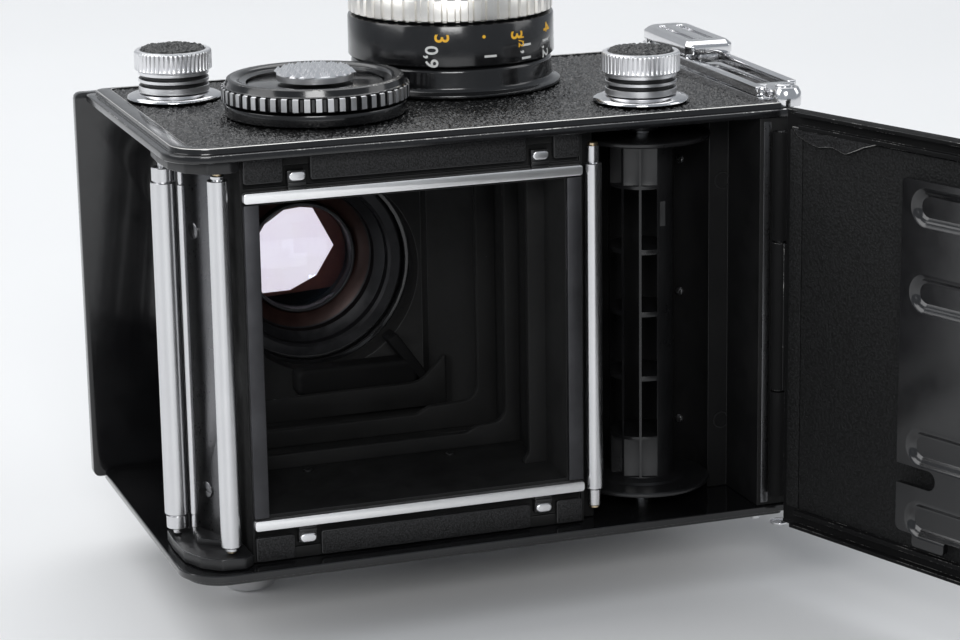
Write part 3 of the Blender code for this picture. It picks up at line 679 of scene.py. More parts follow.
def tunnel_opening(x1, low, high, step, rise, r):
    """Opening of a rib; its foot steps up by rise at the given x."""
    if low < -27.0:
        return round_poly([(17.2, low - 1.0, 0.0), (x1 - 1.0, low - 1.0, 0.0),
                           (x1 - 1.0, low + 0.5, 0.0), (x1, low + 2.0, 1.0), (x1, high, r),
                           (17.2, high, r)], 8)
    return round_poly([(17.2, low, r * 0.5), (step - 1.2, low, 1.6), (step + 1.2, low + rise, 1.6),
                       (x1, low + rise + 0.4, r), (x1, high, r), (17.2, high, r)], 8)


def build_casting():
    """Body casting with the film gate, light tunnel, spool chambers and mirror well."""
    outer = [(12.7, GATE_Y), (74.3, GATE_Y), (74.3, 6.5), (90.0, 6.5), (90.0, 0.6),
             (111.8, 0.6), (121.4, 5.4), (121.4, 67.8), (12.7, 67.8)]
    cuts = [
        prism_bm([(15.2, 3.0), (71.1, 3.0), (71.1, 50.0), (63.2, 58.4), (63.2, 62.0),
                  (23.0, 62.0), (23.0, 50.0), (15.2, 46.0)], -27.4, 27.4),
        prism_bm(circle(LENS_X, 0.0, 19.4, 96), 60.0, 69.0, "y"),
        prism_bm(circle(*SUPPLY, 13.3, 72), -50.0, 50.0),
        box_bm((0.0, 26.4), (52.0, 70.0), (-50.0, 50.0)),
        prism_bm(circle(*SPOOL, 13.2, 88), -50.0, 50.0),
        box_bm((76.9, 106.6), (-2.0, 14.2), (-50.0, 50.0)),
        prism_bm([(64.4, 60.3), (108.0, 16.7), (118.0, 12.2), (124.0, 12.2), (124.0, 65.6),
                  (64.4, 65.6)], -25.5, 25.5),
        prism_bm(circle(VIEW_X, 0.0, 14.0, 72), 64.0, 69.0, "y"),
    ]
    slope = [(112.3, -1.0), (121.6, 20.4), (125.0, 20.4), (125.0, -1.0)]
    for sign in (-1, 1):
        cuts.append(prism_bm(slope, *sorted((sign * 30.0, sign * 40.0))))
        cuts.append(box_bm((13.2, 73.8), (4.0, 5.4), sorted((sign * 30.3, sign * 33.9))))
    # painted shade: the take-up chamber's walls get deep_black, the darker and duller copy of the
    # casting's matt black
    for cutter in cuts[4:6]:
        painted(cutter, 1)
    for x, y, r, z in ((63.5, 36.0, 3.4, 6.5), (57.4, 47.3, 2.6, 5.6)):
        cuts.append(prism_bm(rounded(x - z, x + z, y - r, y + r, r - 0.05, 8), -29.2, -27.0))
    swap("body_casting", prism_bm(outer, -35.85, 35.85), [MATT_BLACK, DEEP_BLACK], bevel=0.3,
         edge=SATIN_BLACK, cuts=cuts)
    for i, z in enumerate((25.2, 0.2, -24.4), 1):
        screw("chamber_screw_%d" % i, (100.6, z), 22.4, 21.5, "y", 0.75, STEEL, 0.5 * i,
              turn_to_chamber)
    for i, z in enumerate((22.3, -23.1), 1):
        ring = lathe_bm([(1.35, 14.0), (1.35, 14.3), (1.6, 14.3), (1.6, 14.0)], (105.4, z), "y",
                        40)
        trim("chamber_mark_%d" % i, ring, SATIN_BLACK)
    strip = prism_bm(rounded(107.2, 108.6, -35.3, 35.3, 0.2, 3), 0.62, 0.3, "y")
    trim("chamber_edge", strip, ANODISED, bevel=0.1)


def turn_to_chamber(bm):
    turned(bm, (100.6, 22.1, 0.0), -55.4)


def build_tunnel():
    """Ribs that stand in the light tunnel, and the parts round the back of the lens."""
    for i, (y, x1, low, high, step, rise, r) in enumerate(BAFFLES, 1):
        hole = prism_bm(tunnel_opening(x1, low, high, step, rise, r), y - 3.0, y + 5.0, "y")
        rib = prism_bm(rect(15.4, 71.3, -27.5, 27.5), y, y + 1.5, "y")
        trim("tunnel_rib_%d" % i, rib, MATT_BLACK, bevel=0.35,
              edge=MATT_BLACK, cuts=[hole], segments=3)
    foot = round_poly([(23.4, -26.5, 0.0), (65.4, -26.5, 0.0), (65.4, -16.0, 0.3),
                       (64.6, -17.2, 3.0), (60.2, -21.6, 5.0), (26.0, -21.9, 2.0),
                       (23.4, -20.6, 1.0)], 8)
    trim("tunnel_rib_4", prism_bm(foot, 54.6, 56.0, "y"), MATT_BLACK, bevel=0.35, edge=MATT_BLACK)
    # painted shade: the block and web deep in the tunnel get deep_black, the darker copy of the
    # ribs' matt black
    bar = prism_bm(rounded(36.4, 60.4, -22.8, -17.4, 1.6, 6), 57.0, 61.9, "y")
    trim("port_block", bar, DEEP_BLACK, bevel=0.8, segments=3)
    web = prism_bm([(54.4, -13.2), (56.4, -12.0), (63.1, -21.6), (61.4, -22.4)], 56.9, 61.9, "y")
    trim("port_web", web, DEEP_BLACK, bevel=0.5)
    for i, (x, y) in enumerate(((29.0, 26.1), (56.2, 26.0)), 1):
        screw("tunnel_screw_%d" % i, (x, y), -27.42, -27.0, "z", 0.9, SATIN_BLACK, 0.6 * i)


def screw(name, centre, low, high, axis, r, mat, turn, lean=None):
    """A small slotted screw head with its slot cut into the top; lean tilts both."""
    rise = high - low
    head = loft_bm([(circle(*centre, r, 32), low), (circle(*centre, r, 32), high - rise * 0.25),
                    (circle(*centre, r * 0.86, 32), high)], axis)
    u, v = math.cos(turn), math.sin(turn)
    half, wide = r * 1.1, r * 0.14
    slot_line = [(centre[0] + a * half * u - b * wide * v, centre[1] + a * half * v + b * wide * u)
                 for a, b in rect(-1, 1, -1, 1)]
    groove = prism_bm(slot_line, high - rise * 0.35, high + rise, axis)
    if lean:
        lean(head)
        lean(groove)
    piece(name, head, [mat], slot="steel", bevel=0.04, cuts=[groove])


def build_gate():
    for tag, sign in SIDES:
        outline = rounded(12.9, 73.9, *sorted((sign * 28.0, sign * 29.8)), 0.5, 4)
        swap("film_rail_" + tag, prism_bm(outline, GATE_Y - 0.02, 3.1, "y"), [RAIL], bevel=0.14)
    refine("gate_bar_base", GREY, 0.18)
    refine("gate_bar_top", GREY, 0.18)


def build_textured_plates():
    """The crackle-finished strips between the rails and the side flanges."""
    for tag, sign in SIDES:
        z0, z1 = sorted((sign * 31.2, sign * 35.6))
        for part, x0, x1 in (("a", 13.1, 20.0), ("b", 24.8, 63.7), ("c", 68.7, 73.6)):
            bm = prism_bm(rounded(x0, x1, z0, z1, 0.5, 3), GATE_Y + 0.02, 3.7, "y")
            trim("gate_plate_%s_%s" % (tag, part), bm, CRINKLE, bevel=0.18, edge=SATIN_BLACK)


def build_film_clips():
    for i, (x, sign) in enumerate(((22.4, 1), (66.2, 1), (22.4, -1), (66.2, -1)), 1):
        z = sign * 32.1
        pill = rounded(x - 1.5, x + 1.5, z - 0.85, z + 0.85, 0.84, 8)
        small = rounded(x - 1.3, x + 1.3, z - 0.65, z + 0.65, 0.64, 8)
        head = loft_bm([(pill, 4.4), (pill, 3.55), (small, 3.3)], "y")
        block = box_bm((x - 1.6, x + 1.6), (3.9, 5.2), sorted((z - sign * 2.6, z + sign * 0.9)))
        ribs = [box_bm((x - 1.6, x + 1.6), (3.6, 4.2),
                       sorted((z - sign * a, z - sign * (a + 0.5)))) for a in (1.1, 1.9)]
        dark = [painted(shape, 1) for shape in [block] + ribs]
        swap("film_clip_%d" % i, merge_bm(head, *dark), [SOFT_CHROME, SATIN_BLACK], bevel=0.1)


def build_roller(node, centre, r, half, neck, neck_half, pin, tip):
    """Film roller with a shoulder, a neck and a pin at each end, its edges lightly broken."""
    c, pin_half = 0.12, 33.5
    side = [(0, pin_half), (pin - c, pin_half), (pin, pin_half - c), (pin, neck_half + 0.02),
            (neck - c, neck_half), (neck, neck_half - c), (neck, half + 0.3),
            (neck * 0.84, half + 0.28), (neck * 0.84, half + 0.02), (r - c, half),
            (r, half - c)]
    tips = {k: 1 for k in (0, 1, 2, 3, 17, 18, 19, 20)}
    bm = lathe_bm(both_ends(side), centre, count=80, bands=tips)
    swap(node, bm, [ROLLER, tip], angle=20.0)


def both_ends(side):
    """Whole profile of a turned part from its half above z = 0."""
    return [(r, -z) for r, z in side] + [(r, z) for r, z in reversed(side)]


def build_rollers():
    build_roller("feeler_roller_outer", FEEL_OUT, 2.2, 29.8, 1.95, 32.4, 0.8, STEEL)
    build_roller("feeler_roller_inner", FEEL_IN, 0.65, 29.6, 0.55, 32.0, 0.4, STEEL)
    build_roller("guide_roller_base", GUIDE_BASE, 1.8, 32.3, 1.2, 33.1, 0.8, BRASS)
    build_roller("guide_roller_top", GUIDE_TOP, 1.6, 29.8, 1.15, 33.0, 0.9, BRASS)


ARM = [(1.6, 22.5, 1.0), (1.3, 16.5, 1.5), (1.6, 9.5, 2.0), (3.4, 5.0, 2.0), (6.4, 2.2, 1.5),
       (10.6, 1.8, 1.0), (12.4, 3.2, 0.8), (12.4, 12.0, 0.5), (11.4, 14.0, 0.5),
       (8.6, 22.5, 0.8)]
STEP = [(4.6, 12.0, 0.8), (10.6, 7.4, 0.6), (11.6, 9.4, 0.6), (8.0, 21.0, 0.8),
        (5.6, 21.0, 0.8)]
SHEET = [(10.9, 9.0), (10.1, 8.6), (6.2, 19.4), (6.4, 21.6), (7.1, 21.6), (7.0, 19.6)]


def build_bracket():
    """Roller bracket: two cast arms and the satin sheet that joins them."""
    parts = []
    for sign in (-1, 1):
        parts.append(prism_bm(round_poly(ARM, 6), *sorted((sign * 33.75, sign * 35.8))))
        parts.append(prism_bm(round_poly(STEP, 5), *sorted((sign * 32.6, sign * 33.9))))
    swap("roller_bracket", merge_bm(*parts), [SATIN_BLACK], bevel=0.22, edge=CHIPPED)
    sheet = prism_bm(SHEET, -33.4, 33.4)
    notch = prism_bm(rounded(-2.0, 2.1, -6.4, 1.4, 1.9, 8), -3.0, 3.0, "y")
    turn_to_sheet(notch, 0.13)
    trim("bracket_sheet", sheet, ANODISED, bevel=0.15, cuts=[notch])
    for i, (share, z) in enumerate(((0.72, 21.4), (0.62, -25.0)), 1):
        screw("bracket_screw_%d" % i, (0.0, z), 0.1, -0.4, "y", 1.5, ANODISED, 1.1 + i,
              partial(turn_to_sheet, share=share))
    for i, (x, y) in enumerate(((4.3, 20.9), (5.2, 20.6)), 1):
        edge = prism_bm(rect(x - 0.16, x + 0.16, y - 0.7, y + 0.7), -33.4, 33.4)
        piece("bracket_edge_%d" % i, edge, [STEEL], slot="steel", bevel=0.08)


def turn_to_sheet(bm, share):
    """Moves a shape drawn about the origin, facing -y, on to the slanted sheet."""
    start, end = Vector((10.1, 8.6, 0.0)), Vector((6.2, 19.4, 0.0))
    along = (end - start).normalized()
    angle = math.atan2(along.y, along.x) - math.pi
    turn = Matrix.Rotation(angle, 4, "Z")
    spot = start.lerp(end, share)
    for v in bm.verts:
        v.co = turn @ v.co + spot


SPOOL_TURN = math.radians(22.6)
WEBS = (-23.0, -12.0, 0.0, 11.5, 23.0)


def spool_rect(u0, u1, v0, v1):
    """Rectangle in the spool's own frame, u across its open side and v out of it."""
    c, s = math.cos(SPOOL_TURN), math.sin(SPOOL_TURN)
    return [(SPOOL[0] + u * c - v * s, SPOOL[1] - u * s - v * c)
            for u, v in rect(u0, u1, v0, v1)]


def build_spool():
    side = [(0, 28.6), (2.7, 28.6), (2.7, 32.6), (12.15, 32.6), (12.4, 32.4), (12.4, 31.95),
            (12.15, 31.7), (8.1, 31.62), (7.7, 31.2), (6.7, 31.1), (5.9, 30.8)]
    cuts = [prism_bm(spool_rect(-3.1, -0.35, -8.0, 8.0), -23.0, 23.0)]
    for low, high in zip(WEBS, WEBS[1:]):
        a = low + (0.0 if low == WEBS[0] else 0.45)
        b = high - (0.0 if high == WEBS[-1] else 0.45)
        for u0, u1 in ((0.1, 2.9), (-5.6, -3.5)):
            cuts.append(prism_bm(spool_rect(u0, u1, -8.0, 8.0), a, b))
    for low, high in ((-30.7, -23.6), (23.6, 30.7)):
        for u0, u1 in ((-3.1, -0.35), (0.1, 2.9), (-5.6, -3.5)):
            cuts.append(prism_bm(spool_rect(u0, u1, 4.75 if u0 > -5.0 else 2.2, 8.0), low, high))
    cuts.append(prism_bm(spool_rect(3.4, 4.7, 4.0, 8.0), 16.0, 20.6))
    swap("takeup_spool", lathe_bm(both_ends(side), SPOOL, count=120), [PLASTIC], bevel=0.09,
         cuts=cuts, angle=25.0)
    refine("takeup_drive_key", STEEL, 0.1)


# ---- knobs on the left side -----------------------------------------------------------
FLUTE = (0.0, 0.0, 0.0, 0.0, 0.1, 0.8, 1.0, 0.7)


def build_knob(tag, centre):
    """Spool knob: a grooved neck, a fluted crown, a leather-covered cap and its washer."""
    wash = raised(HALF_LIP, (2.6, 0.05), (8.45, 0.05), (8.62, 0.2), (8.6, 0.36), (8.4, 0.62),
                  (7.9, 0.78), (7.2, 1.0), (7.0, 1.08), (2.6, 1.08))
    swap(tag + "_washer", lathe_bm(wash, centre), [CHROME])
    base = HALF_LIP + 1.3
    neck = raised(base, (2.0, 0.0), (6.3, 0.0), (6.4, 0.1), (6.4, 1.1), (6.3, 1.18),
                  (5.75, 1.2), (5.75, 1.82), (6.3, 1.84), (6.4, 1.92), (6.4, 2.4), (6.3, 2.48),
                  (5.75, 2.5), (5.75, 3.12), (6.3, 3.14), (6.4, 3.22), (6.4, 3.7), (6.3, 3.8),
                  (6.7, 3.98))
    crown = raised(base, (7.0, 4.1, 0.6), (7.0, 4.25, 1.0), (7.0, 7.05, 1.0), (6.98, 7.2, 0.5),
                   (6.86, 7.4), (6.7, 7.55), (6.1, 7.6), (5.95, 7.5), (5.9, 7.3), (0, 7.3))
    grooves = {i: 1 for i in (6, 7, 8, 12, 13, 14)}
    bm = lathe_bm([(0, 29.5), (2.0, 29.5)] + neck + crown, centre, teeth=(50, 0.3, FLUTE),
                  bands=grooves)
    swap(tag, bm, [SOFT_CHROME, SATIN_BLACK])
    if tag == "takeup_knob":
        bush = [(2.2, 33.1), (3.3, 33.1), (3.4, 33.2), (3.4, 35.2), (4.2, 35.3), (4.2, 35.95),
                (2.2, 35.95)]
        piece("takeup_bush", lathe_bm(bush, centre, count=64, bands={3: 1, 4: 1}),
              [SATIN_BLACK, STEEL], slot="steel")
    r, rings = 5.82, 26
    cap = raised(base, (0, 7.32), (r, 7.32), (r, 7.55))
    for k in range(1, rings):
        t = k / rings
        cap.append((r * (1 - t) + 0.05 * t, base + 7.85 + 0.5 * math.sin(t * math.pi / 2)))
    cap.append((0, base + 8.35))
    bm = lathe_bm(cap, centre, count=130)
    rough_up(bm, base + 7.6, 0.5, 0.95)
    swap(tag + "_cap", bm, [LEATHER], angle=171.9)


def rough_up(bm, above, depth, pitch):
    """Raises leather pebbles in the mesh itself, on the points over the given height."""
    for v in bm.verts:
        if v.co.z > above:
            spots = noise.voronoi(v.co / pitch)[0]
            rise = min(1.0, (spots[1] - spots[0]) * 1.6)
            v.co.z += depth * (rise * (2.0 - rise) - 0.6)


# ---- ribbed dial ----------------------------------------------------------------------
RIB = (0.0, 0.0, 0.0, 0.0, 0.0, 1.0, 1.0, 1.0)


def build_dial():
    z = HALF_LIP + 0.2
    base = raised(z, (0, -0.18), (16.0, -0.18), (16.0, 1.9), (12.0, 2.1), (12.0, 5.1), (0, 5.1))
    swap("dial_base", lathe_bm(soften(base, 0.25), DIAL, count=120), [ENAMEL])
    ring = raised(z, (12.2, 2.3), (15.9, 2.3), (16.25, 2.42), (16.3, 2.55, 1), (16.6, 2.62, 1),
                  (16.6, 4.75, 1), (16.3, 4.85, 1), (16.2, 5.0), (15.9, 5.15), (15.75, 5.6),
                  (15.6, 6.15), (15.35, 6.3), (14.9, 6.34), (14.3, 6.25), (13.6, 6.0),
                  (13.4, 5.7), (12.2, 5.4))
    bands = {3: (1, 0), 4: (1, 0), 5: (1, 0), 10: 2, 11: 2}
    swap("dial_ring", lathe_bm(ring, DIAL, teeth=(51, 0.5, RIB), bands=bands),
         [ENAMEL, SATIN, WORN])
    knob = raised(z, (0, 5.7), (6.8, 5.7), (6.8, 6.7), (6.65, 6.9), (6.3, 7.0), (0, 7.0))
    studs = stud_field(DIAL, 7.0, z + 6.9, 1.45, 1.5)
    swap("dial_knob", merge_bm(lathe_bm(knob, DIAL, count=80), studs), [SOFT_CHROME],
         angle=20.0)


def stud_field(centre, radius, z, pitch, height):
    """A grid of four-sided points inside a circle, lower towards the rim."""
    bm = bmesh.new()
    reach = int(radius / pitch) + 1
    for i in range(-reach, reach + 1):
        for j in range(-reach, reach + 1):
            u, v = i * pitch, j * pitch
            away = math.hypot(u, v)
            if away > radius - pitch * 0.35:
                continue
            h = height * (1.0 - 0.45 * (away / radius) ** 2)
            half = pitch * 0.5
            corners = [bm.verts.new((centre[0] + u + a * half, centre[1] + v + b * half, z))
                       for a, b in rect(-1, 1, -1, 1)]
            lean = noise.noise_vector(Vector((u, v, 5.0))) * pitch * 0.25
            tip = bm.verts.new((centre[0] + u + lean.x, centre[1] + v + lean.y,
                                z + h * (1.0 + 0.4 * lean.z)))
            for a in range(4):
                bm.faces.new((corners[a], corners[(a + 1) % 4], tip))
            bm.faces.new(corners)
    return bm


# ---- focusing knob --------------------------------------------------------------------
FLUTES = (0.0, 0.0, 0.0, 0.0, 0.0, 0.0, 1.0, 1.0, 1.0, 1.0)
MARKS = (
    # colour, size, then each figure's text, angle and height
    (YELLOW, 3.7, (("3", -114.1, 10.8), ("3", -70.6, 10.6), ("4", -42.6, 10.9),
                   ("5", -14.0, 10.9), ("7", 18.0, 10.9), ("10", 52.0, 10.9),
                   ("20", 84.0, 10.9))),
    (WHITE, 3.3, (("0,9", -119.7, 7.5), ("1", -87.3, 7.3), ("1,1", -63.4, 7.4),
                  ("1,2", -44.3, 7.4), ("1,5", -16.0, 7.4), ("2", 18.0, 7.4),
                  ("3", 52.0, 7.4), ("6", 84.0, 7.4))),
)
BARREL_R = 19.1


def wrap(bm, angle, height):
    """Lays flat lettering round the focusing barrel, reading along its length."""
    for v in bm.verts:
        tx, ty, tz = v.co
        a = math.radians(angle) + ty / BARREL_R
        r = BARREL_R + tz
        v.co = (FOCUS[0] + r * math.cos(a), FOCUS[1] + r * math.sin(a), height - tx)
    return bm


def lettering(text, size):
    curve = bpy.data.curves.new("figures", "FONT")
    curve.body = text
    curve.size = size
    curve.align_x = "CENTER"
    curve.align_y = "CENTER"
    curve.extrude = 0.04
    curve.offset = 0.05
    obj = bpy.data.objects.new("figures", curve)
    bpy.context.scene.collection.objects.link(obj)
    mesh = evaluated_mesh(obj)
    bm = bmesh.new()
    bm.from_mesh(mesh)
    bpy.data.objects.remove(obj, do_unlink=True)
    bpy.data.meshes.remove(mesh)
    bmesh.ops.remove_doubles(bm, verts=bm.verts, dist=0.004)
    return bm


def build_focus():
    z = HALF_LIP
    base = raised(z, (0, 0.02), (20.3, 0.02), (20.3, 0.55), (19.3, 0.9), (18.75, 1.5),
                  (18.6, 4.6), (18.2, 5.2), (0, 5.2))
    swap("focus_base", lathe_bm(soften(base, 0.2), FOCUS, count=144), [ENAMEL])
    barrel = raised(z, (0, 5.4), (18.3, 5.4), (18.9, 5.5), (BARREL_R, 5.75), (BARREL_R, 12.7),
                    (18.95, 13.0), (18.0, 13.3), (0, 13.3))
    swap("focus_barrel", lathe_bm(barrel, FOCUS, count=144), [ENAMEL])
    grip = raised(z, (0, 13.45), (17.8, 13.45), (18.3, 13.5, 0.3), (18.6, 13.62, 1),
                  (18.9, 13.8, 1), (18.9, 17.3, 1), (18.75, 17.6, 1), (18.3, 18.0),
                  (17.9, 18.3), (17.5, 18.4), (16.6, 18.4), (16.3, 18.25), (16.1, 17.9),
                  (15.9, 17.6), (0, 17.6))
    bm = lathe_bm(grip, FOCUS, teeth=(49, 0.42, FLUTES), bands={12: 1, 13: 1})
    swap("focus_grip", bm, [WARM_CHROME, SATIN_BLACK])
    number = 0
    for mat, size, figures in MARKS:
        for text, angle, height in figures:
            number += 1
            engrave("focus_figure_%d" % number, lettering(text, size), angle, height, mat)
    engrave("focus_figure_half", lettering("1/2", 1.7), -67.2, 9.4, YELLOW)
    engrave("focus_dot", prism_bm(circle(0.0, 0.0, 0.32, 20), -0.05, 0.05), -90.6, 10.9, YELLOW)


def engrave(name, bm, angle, height, mat):
    piece(name, wrap(bm, angle, HALF_LIP + height), [mat], on="focus_barrel", angle=28.65)


# ---- lenses ---------------------------------------------------------------------------
IRIS_Y = 82.0
IRIS = [(35.6, 3.2), (37.4, 6.0), (41.4, 8.6), (44.8, 8.9), (47.3, 8.5), (51.4, 0.6),
        (47.7, -5.2), (42.2, -7.7), (36.6, -7.8), (34.6, -4.4)]


def meniscus(r, edge, rise, thick, steps=16):
    """Section of a thin bulging shell of glass, from the axis out and back."""
    outer = [(r * k / steps, edge + rise * (1.0 - (k / steps) ** 2)) for k in range(steps + 1)]
    inner = [(x, y - thick) for x, y in reversed(outer)]
    return outer + inner


def build_taking_lens():
    c = (LENS_X, 0.0)
    profile = [
        (16.3, 70.7), (16.6, 70.4), (18.3, 70.3), (18.6, 70.55), (18.6, 74.0), (20.6, 74.7),
        (20.8, 74.9), (20.8, 83.8), (20.6, 84.1), (19.6, 84.6), (17.3, 84.9), (17.2, 85.1),
        (17.2, 91.8), (16.9, 92.3), (16.2, 92.6), (14.9, 92.6), (14.6, 92.4), (13.9, 90.8),
        (13.7, 90.7), (13.0, 89.2), (12.4, 88.9), (12.4, 82.5), (12.1, 82.4), (12.1, 81.6),
        (11.5, 81.3), (11.3, 77.6), (11.5, 77.3), (13.9, 76.3), (14.2, 76.1), (14.3, 74.2),
        (14.6, 74.0), (15.9, 73.2), (16.1, 73.0), (16.1, 70.9),
    ]
    bands = {k: 1 for k in (0, 1, 2, 3, 4, *range(27, len(profile)))}
    # slot 2, the reddish ring, is painted reflection of the lens coating
    bands.update({k: 2 for k in (24, 25, 26)})
    bands.update({k: 3 for k in range(16, 24)})
    bm = lathe_bm(profile, c, "y", 120, bands=bands)
    swap("taking_lens_barrel", bm, [SATIN, INNER_RING, RING_PAINTED_REFLECTION, DEEP_BLACK])
    cell = soften([(10.35, 76.6), (10.5, 76.35), (10.9, 76.35), (11.05, 76.6), (11.05, 80.0),
                   (10.35, 81.0)], 0.05)
    swap("taking_lens_rear_cell", lathe_bm(cell, c, "y"), [GREY])
    rear = [(x, 2.0 * 78.6 - y) for x, y in meniscus(10.3, 78.9, 1.5, 0.6)]
    front = meniscus(12.3, 85.6, 3.3, 0.7)
    for end, pane in (("rear", rear), ("front", front)):
        swap("taking_lens_%s_glass" % end, lathe_bm(pane, c, "y", 72), [GLASS], angle=68.75)
    # the iris blades' brownish red is painted reflection of the lens coating
    blades = prism_bm(circle(*c, 12.0, 96), IRIS_Y, IRIS_Y + 0.25, "y")
    hole = prism_bm(IRIS, IRIS_Y - 1.0, IRIS_Y + 1.0, "y")
    piece("iris_blades", blades, [BLADE_PAINTED_REFLECTION], on="taking_lens_barrel", slot="black_enamel",
          cuts=[hole])
    # painted shade: a dark sheet across the lower part of the barrel, standing for the dark seen
    # below the aperture
    rim = [(x, z) for x, z in circle(*c, 11.2, 96) if z < -8.1 and x < 51.6]
    rim.sort()
    strip = [(rim[0][0], -8.6), (51.6, -7.7)] + rim[::-1]
    piece("iris_painted_shade", prism_bm(strip, IRIS_Y - 0.5, IRIS_Y - 0.2, "y"), [DEEP_BLACK],
          on="taking_lens_barrel", slot="black_enamel")


def build_viewing_lens():
    c = (VIEW_X, 0.0)
    profile = [
        (12.7, 73.0), (15.4, 73.0), (15.7, 73.2), (17.0, 74.7), (17.2, 75.0), (17.2, 81.7),
        (16.9, 82.1), (16.5, 82.3), (16.4, 82.6), (16.4, 90.8), (16.1, 91.3), (15.6, 91.6),
        (14.5, 91.6), (14.2, 91.4), (13.6, 89.8), (13.3, 89.6), (12.7, 87.6), (12.6, 87.0),
    ]
    bm = lathe_bm(profile, c, "y", 120, bands={k: 1 for k in (13, 14, 15, 16, 17)})
    swap("viewing_lens_barrel", bm, [SATIN, SATIN_BLACK])
    pane = meniscus(12.5, 84.6, 3.4, 1.0)
    swap("viewing_lens_glass", lathe_bm(pane, c, "y", 72), [VIEW_GLASS], angle=68.75)


# ---- back door --------------------------------------------------------------------------
DOOR_DEEP = 66.6
PLATE_FACE = 2.5
GROOVES = (26.4, 11.6, -15.3, -28.2)
SLOPES = (14.0, 22.0, 30.0, 38.0, 44.0, 38.0, 30.0, 22.0)


def door_sheet(inner, outer, half, start):
    """L-shaped sheet that lies between two offsets out from the closed body."""
    lines = [round_poly([(start, -off, 0.0), (-off, -off, CORNER + off),
                         (-off, DOOR_DEEP, 0.0)], 14) for off in (outer, inner)]
    return prism_bm(lines[0] + lines[1][::-1], -half, half)


def stamped(x0, x1, z, r):
    """Cutter for a capsule-shaped hollow in the pressure plate, its sides softly curved."""
    step, inset, height = 0.24, 0.0, PLATE_FACE
    mouth = rounded(x0, x1, z - r, z + r, r - 0.01, 16)
    rings = [(mouth, height + 0.3), (mouth, height)]
    for slope in SLOPES:
        inset += step * math.cos(math.radians(slope))
        height -= step * math.sin(math.radians(slope))
        rings.append((rounded(x0 + inset, x1 - inset, z - r + inset, z + r - inset,
                              r - inset - 0.01, 16), height))
    return loft_bm(rings, "y")


def build_door():
    refine("door_shell", DEEP_BLACK, 0.22, WORN)
    groove = swing_door(box_bm((103.4, 103.6), (-0.6, 0.6), (-40.0, 40.0)))
    piece("door_felt", swing_door(door_sheet(-0.02, 0.28, 34.6, 106.6)), [FLOCK],
          on="door_shell", slot="black_enamel", bevel=0.08, cuts=[groove])
    holes = [swing_door(prism_bm(circle(y, 0.0, r, 48), -6.0, 0.0, "x"))
             for y, r in ((51.5, 9.0), (33.0, 6.6))]
    piece("door_leather", swing_door(door_sheet(1.93, 2.25, 36.4, 105.8)), [LEATHER],
          on="door_shell", slot="leather", bevel=0.1, cuts=holes)
    lip = round_poly([(105.8, 35.3, 0.0), (104.4, 33.8, 1.5), (101.6, 32.8, 3.0),
                      (99.2, 32.4, 0.8), (96.0, 32.9, 3.0), (92.7, 32.1, 2.0),
                      (88.2, 34.0, 4.0), (84.0, 35.3, 0.0)], 6)
    piece("door_lip", swing_door(prism_bm(lip, -0.3, 0.55, "y")), [CRINKLE],
          on="door_shell", slot="black_enamel", bevel=0.14, edge=RUBBED)
    outline = round_poly([(9.0, -31.0, 2.0), (66.1, -31.0, 0.3), (66.1, -33.2, 0.6),
                          (73.4, -33.2, 0.6), (73.4, -31.1, 0.3), (77.3, -31.0, 1.2),
                          (77.3, 30.9, 0.6), (9.0, 30.9, 2.0)], 6)
    cuts = [stamped(11.0, 75.3, z, 3.4) for z in GROOVES]
    cuts.append(prism_bm(rounded(68.4, 90.0, -22.5, -19.0, 1.7, 12), 0.0, 4.0, "y"))
    plate = prism_bm(outline, 1.35, PLATE_FACE, "y")
    for shape in [plate] + cuts:
        swing_door(shape)
    swap("pressure_plate", plate, [PLATE_BLACK], bevel=0.14, edge=RUBBED, cuts=cuts, angle=11.0)


# ---- strap lugs and clips ---------------------------------------------------------------
def build_lug(tag, sign):
    """Fixed plate of a strap lug with the rounded nub that holds the clip's pin."""
    x0, x1 = LUG_X
    base = prism_bm(lug_outline(0.0), sign * (LUG_LOW + 0.05), sign * 38.75)
    window = prism_bm(rounded(x0 + 1.9, x1 - 1.9, 11.0, 39.0, 0.8, 4), sign * 36.0, sign * 42.0)
    nub = rounded(x0 + 1.95, x0 + 7.2, 0.9, 8.8, 2.4, 8)
    small = rounded(x0 + 2.45, x0 + 6.7, 1.4, 8.3, 1.9, 8)
    head = loft_bm([(nub, sign * 37.5), (nub, sign * 39.8), (small, sign * 40.75)])
    swap("strap_lug_" + tag, merge_bm(base, head), [CHROME], bevel=0.22, cuts=[window],
         segments=3)
    cap = lathe_bm([(0, sign * 40.6), (1.75, sign * 40.6), (1.75, sign * 40.95),
                    (1.5, sign * 41.15), (0, sign * 41.2)], (x0 + 4.6, 4.2), count=40)
    groove = box_bm((x0 + 2.6, x0 + 6.6), (4.05, 4.35), sorted((sign * 41.0, sign * 42.0)))
    piece("lug_screw_" + tag, cap, [CHROME], slot="chrome", bevel=0.06, cuts=[groove])


BLOCK_HEIGHTS = {"left": (41.1, 42.7, 43.5), "right": (39.8, 40.6, 41.1)}


